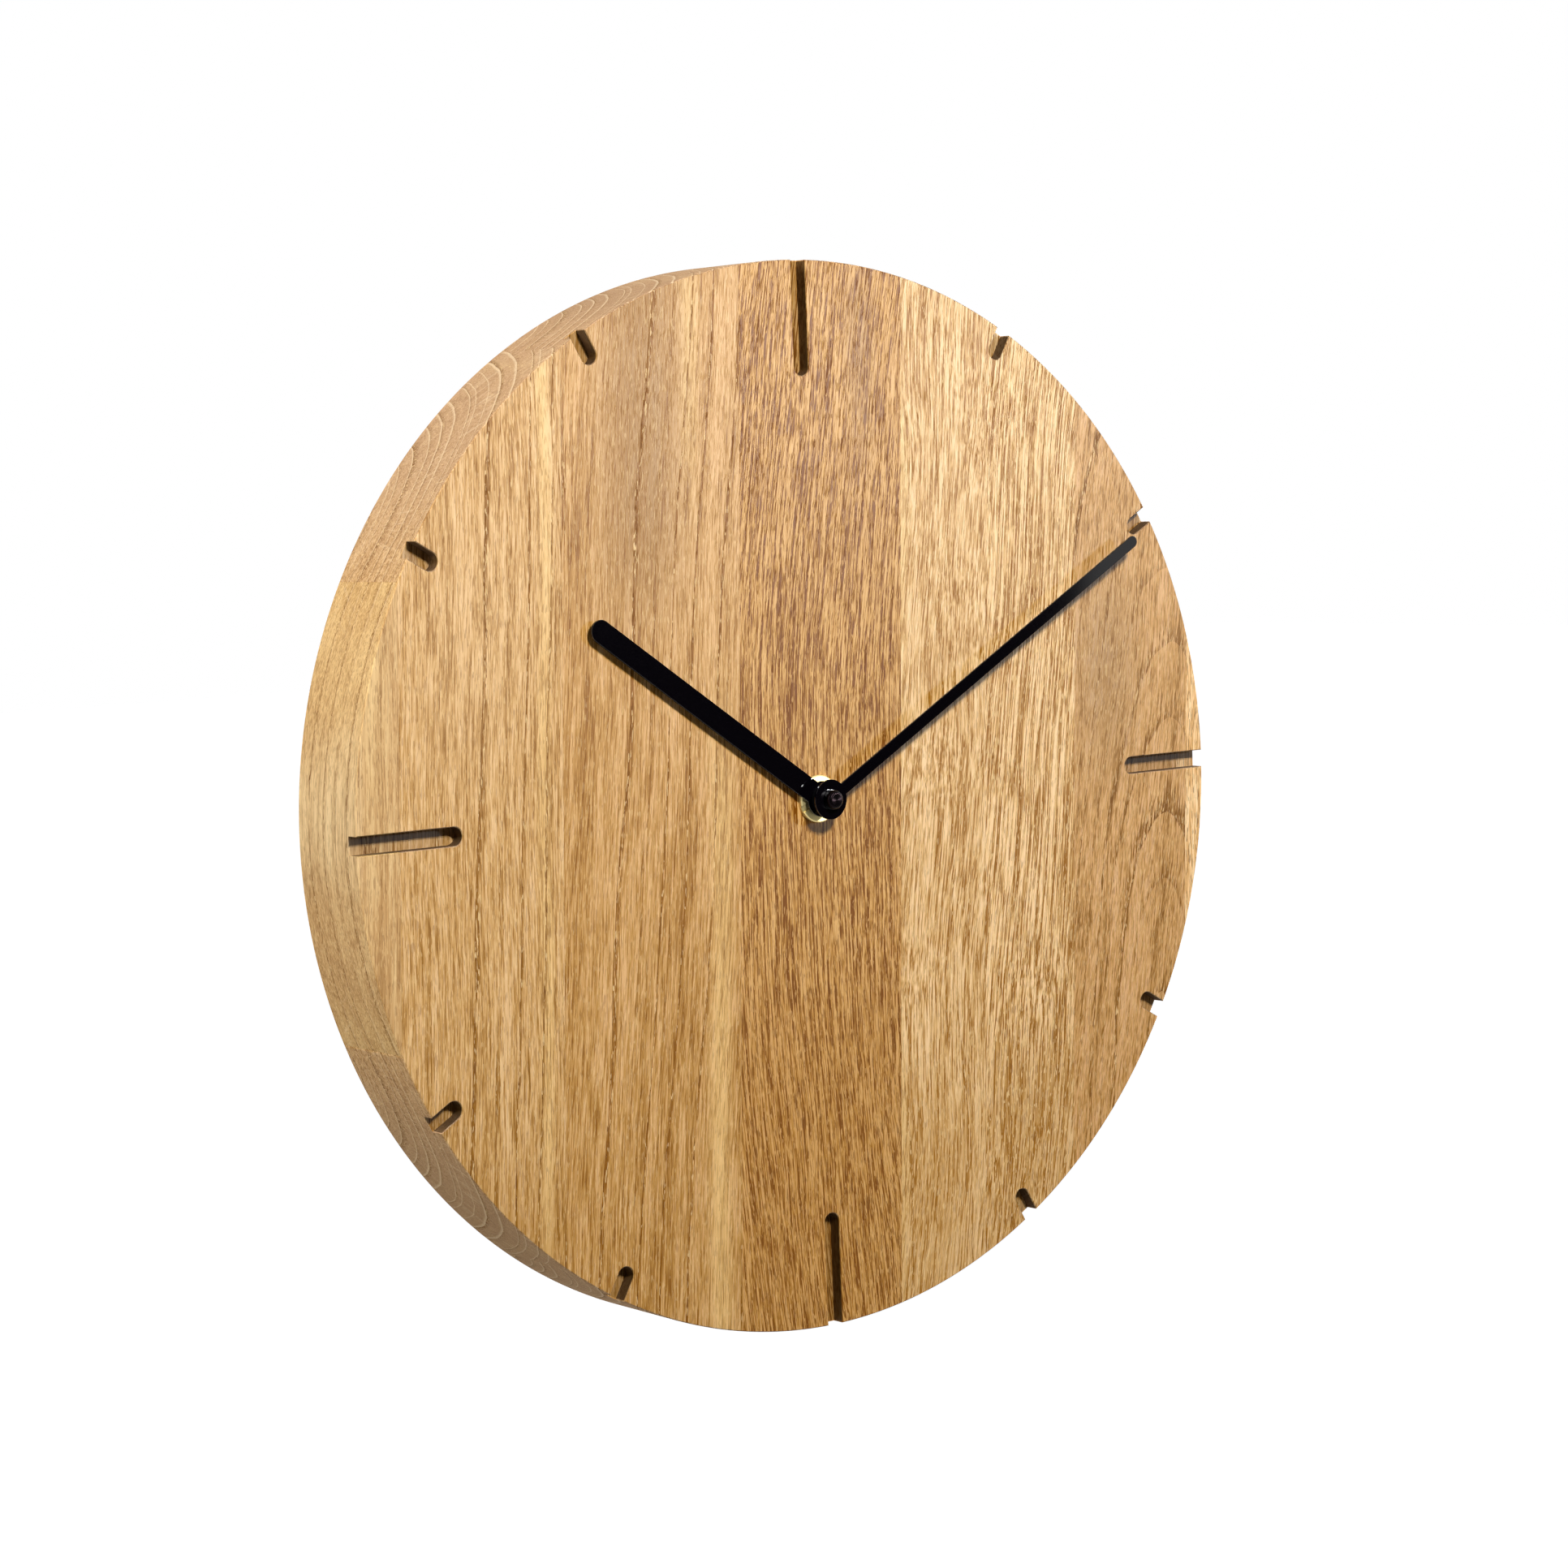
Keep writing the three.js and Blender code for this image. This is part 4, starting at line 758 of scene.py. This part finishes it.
def fixing_nut(material):
    """A round nut with a bevelled front and a slot across it for a driver."""
    front, back = depths("fixing_nut")
    radius = half_width("fixing_nut")
    profile = [(radius - NUT_BEVEL, front), (radius, front - NUT_BEVEL), (radius, back + TURNED_EDGE),
               (radius - TURNED_EDGE, back)]
    hole = straight(circle(NUT_BORE / 2), front, back)
    nut = solid("fixing_nut_turned", [(circle(r), out) for r, out in profile], [hole])
    end = clock_point(2 * radius, NUT_SLOT_ANGLE)
    slot = strip(end, (-end[0], -end[1]), NUT_SLOT_WIDTH)
    reshape(nut, [solid("slot", straight(slot, front + OVERCUT, front - NUT_SLOT_DEPTH))])
    return dress(nut, material, "clock_body", "fixing_nut")


# Hanger and its screws

PLATE_EDGE = 0.2 * MM
SCREW_RIM = 0.12 * MM
SCREW_BEVEL = 0.168 * MM
SCREW_POINT = 0.05 * MM
# The arms of a cross recess, from its bottom to its mouth: half length, width and depth below the head
CROSS_RECESS = [(0.5 * MM, 0.5 * MM, 1.3 * MM), (1.7 * MM, 0.95 * MM, 0), (1.7 * MM, 0.95 * MM, -0.5 * MM)]


def hanger_plate(material):
    """A stamped strip with a keyhole and two countersunk holes, its outer edge rounded towards the wall."""
    outer = (straight(hanger_outline(0), HANGER_FRONT, HANGER_BACK + PLATE_EDGE)
             + straight(hanger_outline(-PLATE_EDGE), HANGER_BACK))
    keyhole = [(x, z + KEYHOLE_LOW) for x, z in hand_outline(
        0, KEYHOLE_TRAVEL + KEYHOLE_SLOT / 2, KEYHOLE_SLOT, KEYHOLE_HEAD, 0)]
    holes = [straight(keyhole, HANGER_FRONT, HANGER_BACK)]
    for spot in screw_places.values():
        holes.append([(circle(SCREW_SHANK / 2 + CLOSE_FIT, spot), HANGER_FRONT),
                      (circle(SCREW_HEAD / 2 + CLOSE_FIT, spot), HANGER_BACK)])
    return dress(solid("hanger_plate_stamped", outer, holes), material, "clock_body", "hanger_plate")


def hanger_screw(name, material):
    """A countersunk wood screw with a cross recess and a pointed end."""
    spot = screw_places[name]
    tip, head = depths(name)
    profile = [(SCREW_POINT, tip), (SCREW_SHANK / 2, tip - SCREW_SHANK), (SCREW_SHANK / 2, HANGER_FRONT),
               (SCREW_HEAD / 2 - SCREW_RIM, head + SCREW_RIM), (SCREW_HEAD / 2 - SCREW_BEVEL, head)]
    screw = solid(f"{name}_turned", [(circle(radius, spot), out) for radius, out in profile])
    arms = []
    for x, z in ((1, 0), (0, 1)):
        stack = []
        for reach, width, depth in CROSS_RECESS:
            ends = [(spot[0] + side * x * reach, spot[1] + side * z * reach) for side in (-1, 1)]
            stack.append((strip(*ends, width), head + depth))
        arms.append(solid("arm", stack))
    return dress(reshape(screw, arms), material, "clock_body", name)


# Movement, as seen from behind

COVER_CORNER = 3 * MM
COVER_EDGE = 0.4 * MM
KNOB_HOLE_RADIUS = 1.5 * MM
GUARD_OUTSIDE = 6.7 * MM
GUARD_INSIDE = 6 * MM
GUARD_HEIGHT = 0.5 * MM
GUARD_EDGE = 0.2 * MM
GUARD_ROOT = 0.1 * MM


def movement_cover(material):
    """The snap-on back of the movement, with a moulded ring that guards the setting knob."""
    low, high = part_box("movement_cover")
    front, back = depths("movement_cover")
    knob = middle("setting_knob")
    outer = []
    for inset, out in ((0, front), (0, back + COVER_EDGE), (COVER_EDGE, back)):
        corners = (low.x + inset, low.z + inset), (high.x - inset, high.z - inset)
        outer.append((rounded_rectangle(*corners, COVER_CORNER - inset), out))
    cover = solid("movement_cover_moulded", outer, [straight(circle(KNOB_HOLE_RADIUS, knob), front, back)])
    guard = [(0, back + GUARD_ROOT), (0, back - GUARD_HEIGHT + GUARD_EDGE), (GUARD_EDGE, back - GUARD_HEIGHT)]
    ring = solid("guard", [(circle(GUARD_OUTSIDE - inset, knob), out) for inset, out in guard],
                 [[(circle(GUARD_INSIDE + inset, knob), out) for inset, out in guard]])
    return dress(reshape(cover, [ring], "UNION"), material, "clock_body", "movement_cover")


RIBS = 16
RIB_DEPTH = 0.4 * MM
RIB_PROFILE = (0, 0, 0, 0.5, 1, 1, 1, 0.5)
KNOB_EDGE = 0.35 * MM
DISH_RADIUS = 0.72
DISH_FLOOR_RADIUS = 0.64
DISH_DEPTH = 0.4 * MM
SOCKET_RADIUS = 1.25 * MM
SOCKET_DEPTH = 1.85 * MM


def setting_knob(material):
    """A ribbed knob with a dished back and a socket for the setting shaft."""
    front, back = depths("setting_knob")
    crest = half_width("setting_knob")
    centre = middle("setting_knob")
    steps = RIBS * len(RIB_PROFILE)

    def ribbed(inset):
        radii = [crest - inset - RIB_DEPTH * RIB_PROFILE[i % len(RIB_PROFILE)] for i in range(steps)]
        angles = [FULL_TURN * (i - 1) / steps for i in range(steps)]
        return [(centre[0] + r * math.cos(a), centre[1] + r * math.sin(a)) for r, a in zip(radii, angles)]

    def around(radius):
        return circle(radius, centre, steps)

    stack = [*straight(around(SOCKET_RADIUS), front - SOCKET_DEPTH, front),
             *straight(ribbed(0), front, back + KNOB_EDGE), (ribbed(KNOB_EDGE), back),
             (around(DISH_RADIUS * crest), back), (around(DISH_FLOOR_RADIUS * crest), back + DISH_DEPTH)]
    knob = solid("setting_knob_moulded", stack)
    return dress(knob, material, "setting_set", "setting_knob")


CELL_NUB = 1.5 * MM


def dry_cell():
    """A cell with crimped ends, a dished minus end and a plus nub, laid along x in its bay."""
    low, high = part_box("dry_cell")
    radius = (high.z - low.z) / 2
    axis_out, axis_z = -(low.y + high.y) / 2, (low.z + high.z) / 2
    left, right = low.x, high.x - CELL_NUB
    # The profile, as shares of the radius and places along x
    minus_end = [(0.62, left + 0.1 * MM), (0.66, left + 0.4 * MM), (0.74, left + 0.4 * MM), (0.8, left),
                 (0.92, left), (0.98, left + 0.2 * MM), (1, left + 0.6 * MM)]
    plus_end = [(1, right - 0.6 * MM), (0.98, right - 0.2 * MM), (0.92, right), (0.8, right),
                (0.76, right - 0.5 * MM), (0.46, right - 0.4 * MM), (0.4, right - 0.1 * MM)]
    nub = [(0.38, right + 0.7 * CELL_NUB), (0.34, right + 0.93 * CELL_NUB), (0.28, right + CELL_NUB)]
    cell = solid("dry_cell_crimped", [(circle(share * radius), x) for share, x in minus_end + plus_end + nub],
                 lay=lambda a, b, x: (x, -axis_out - a, axis_z + b))
    return dress(cell, cell_lacquer(left, right), "clock_body", "dry_cell")


glue_staves()
enamel = black_enamel()
hand("hour_hand", "hour_hand_set", enamel, **HOUR_HAND)
hand("minute_hand", "minute_hand_set", enamel, **MINUTE_HAND)
cap_nut(blackened_brass())
brass = turned_brass()
fixing_nut(brass)
zinc = zinc_plate()
abs_plastic = black_abs()
hanger_plate(zinc)
for screw_name in screw_places:
    hanger_screw(screw_name, zinc)
movement_cover(abs_plastic)
setting_knob(abs_plastic)
dry_cell()

# Solids that the scene shows as they are
for material, names in (
        (black_oxide(), ("hour_hand_collet", "minute_hand_collet")),
        (abs_plastic, ("movement_case",)),
        (nickel_plate(), ("stator", "coil_core", "plus_contact", "minus_contact", "quartz_crystal")),
        (white_acetal(), ("train_plate", "minute_wheel", "hour_wheel", "rotor_arbor", "fifth_wheel",
                          "fourth_wheel", "third_wheel", "centre_wheel", "coil_bobbin")),
        (black_rubber(), ("rubber_washer",)),
        (brass, ("minute_pipe",)),
        (grey_ferrite(), ("rotor_magnet",)),
        (enamelled_copper(), ("coil_winding",)),
        (paper_laminate(), ("circuit_board",)),
        (black_epoxy(), ("chip_drop",))):
    for name in names:
        nodes[name].data.materials.clear()
        nodes[name].data.materials.append(material)

# Camera, at the photograph's viewing angle

CAMERA_PLACE = Vector((-628.3, -828.4, 90.2)) * MM
CAMERA_AIM = Vector((-11.5, -29, 5.0)) * MM
CAMERA_ROLL = math.radians(-2.1)
CAMERA_LENS = 83.54
CAMERA_SENSOR = 36

camera = bpy.data.objects.new("camera", bpy.data.cameras.new("camera"))
bpy.context.scene.collection.objects.link(camera)
bpy.context.scene.camera = camera
camera.data.lens = CAMERA_LENS
camera.data.sensor_width = CAMERA_SENSOR
camera.location = CAMERA_PLACE
camera.rotation_mode = "QUATERNION"
looking = (CAMERA_AIM - CAMERA_PLACE).to_track_quat("-Z", "Y")
camera.rotation_quaternion = looking @ Quaternion((0, 0, 1), CAMERA_ROLL)

# Light: a small key lamp above and in front, which gives crisp shadows; lamps for the left of the rim, for
# its right and for the back; one that only adds sheen to the upper half of the oak; a dark card and a pale
# card that only shine sees; and a white room that sheds little light of its own. Places are in metres, and
# power is in watts.

FLOOR_DROP = 1.2
FLOOR_REACH = 40
ROOM_FILL = 0.03
WARM_LIGHT = "f4ecb0"


def lamp(name, place, aim, size, power, colour="ffffff"):
    data = bpy.data.lights.new(name, "AREA")
    data.shape = "SQUARE"
    data.size = size
    data.energy = power
    data.color = linear(colour)[:3]
    made = bpy.data.objects.new(name, data)
    made.location = place
    made.rotation_mode = "QUATERNION"
    made.rotation_quaternion = (Vector(aim) - Vector(place)).to_track_quat("-Z", "Y")
    bpy.context.scene.collection.objects.link(made)
    return made


lamp("key_lamp", (-0.12, -0.82, 0.57), (0, 0, 0), 0.14, 12)
lamp("rim_lamp", (-0.90, 0.10, 0.50), (-0.1, 0, 0), 0.5, 8.7)
lamp("low_rim_lamp", (-1.0, 0.10, -0.35), (-0.1, 0, 0), 0.6, 0.95, WARM_LIGHT)
lamp("right_rim_lamp", (0.90, 0.15, 0.35), (0.1, 0, 0), 0.5, 5)
lamp("back_lamp", (0.3, 1.4, 0.15), (0, 0, 0), 0.8, 14).visible_glossy = False
lamp("sheen_lamp", (0.45, -0.62, 0.15), (0, 0, 0), 0.06, 10.5).visible_diffuse = False


def plane(name, width, height, place, aim, material):
    """A flat sheet that belongs to the studio."""
    data = bpy.data.meshes.new(name)
    x, y = width / 2, height / 2
    data.from_pydata([(-x, -y, 0), (x, -y, 0), (x, y, 0), (-x, y, 0)], [], [(0, 1, 2, 3)])
    data.materials.append(material)
    made = bpy.data.objects.new(name, data)
    made.location = place
    made.rotation_mode = "QUATERNION"
    made.rotation_quaternion = (Vector(place) - Vector(aim)).to_track_quat("-Z", "Y")
    bpy.context.scene.collection.objects.link(made)
    return made


CARD_RIGHT = 2.17
CARD_WIDTH = 5
CARD_HEIGHT = 2.8
CARD_AWAY = 2.3


def shine_card(name, side, material_name, **sockets):
    """A card before or behind the clock that only shows in shine."""
    material, _, _ = blank_material(material_name, Roughness=1, **sockets)
    place = (CARD_RIGHT - CARD_WIDTH / 2, side * CARD_AWAY, CARD_HEIGHT / 2 - FLOOR_DROP)
    card = plane(name, CARD_WIDTH, CARD_HEIGHT, place, (place[0], 0, place[2]), material)
    for kind in ("camera", "diffuse", "transmission", "volume_scatter", "shadow"):
        setattr(card, f"visible_{kind}", False)


def white_to_the_eye(tree):
    """One for rays from the camera, in shine and through glass, and nothing for those that give light."""
    path = add(tree, "LightPath")
    seen = path.outputs["Is Camera Ray"]
    for kind in ("Is Glossy Ray", "Is Transmission Ray"):
        seen = add(tree, "Math", (seen, path.outputs[kind]), operation="MAXIMUM")
    return seen


def pale_floor():
    material, tree, shader = blank_material(
        "pale_floor", Roughness=0.9, Base_Color=linear("e8e8e8"), Emission_Color=(0.97, 0.97, 0.97, 1))
    feed(tree, shader, {"Emission Strength": white_to_the_eye(tree)})
    plane("floor", FLOOR_REACH, FLOOR_REACH, (0, 0, -FLOOR_DROP), (0, 0, 0), material)


def white_room():
    world = bpy.data.worlds.new("white_room")
    bpy.context.scene.world = world
    world.use_nodes = True
    tree = world.node_tree
    strength = add(tree, "MapRange", (white_to_the_eye(tree), 0, 1, ROOM_FILL, 1))
    feed(tree, tree.nodes["Background"], {"Color": (1, 1, 1, 1), "Strength": strength})


shine_card("dark_card", -1, "black_card", Base_Color=linear("050505"))
shine_card("pale_card", 1, "white_card", Emission_Color=(1, 1, 1, 1), Emission_Strength=0.8)
pale_floor()
white_room()
bpy.context.scene.view_settings.view_transform = "Standard"
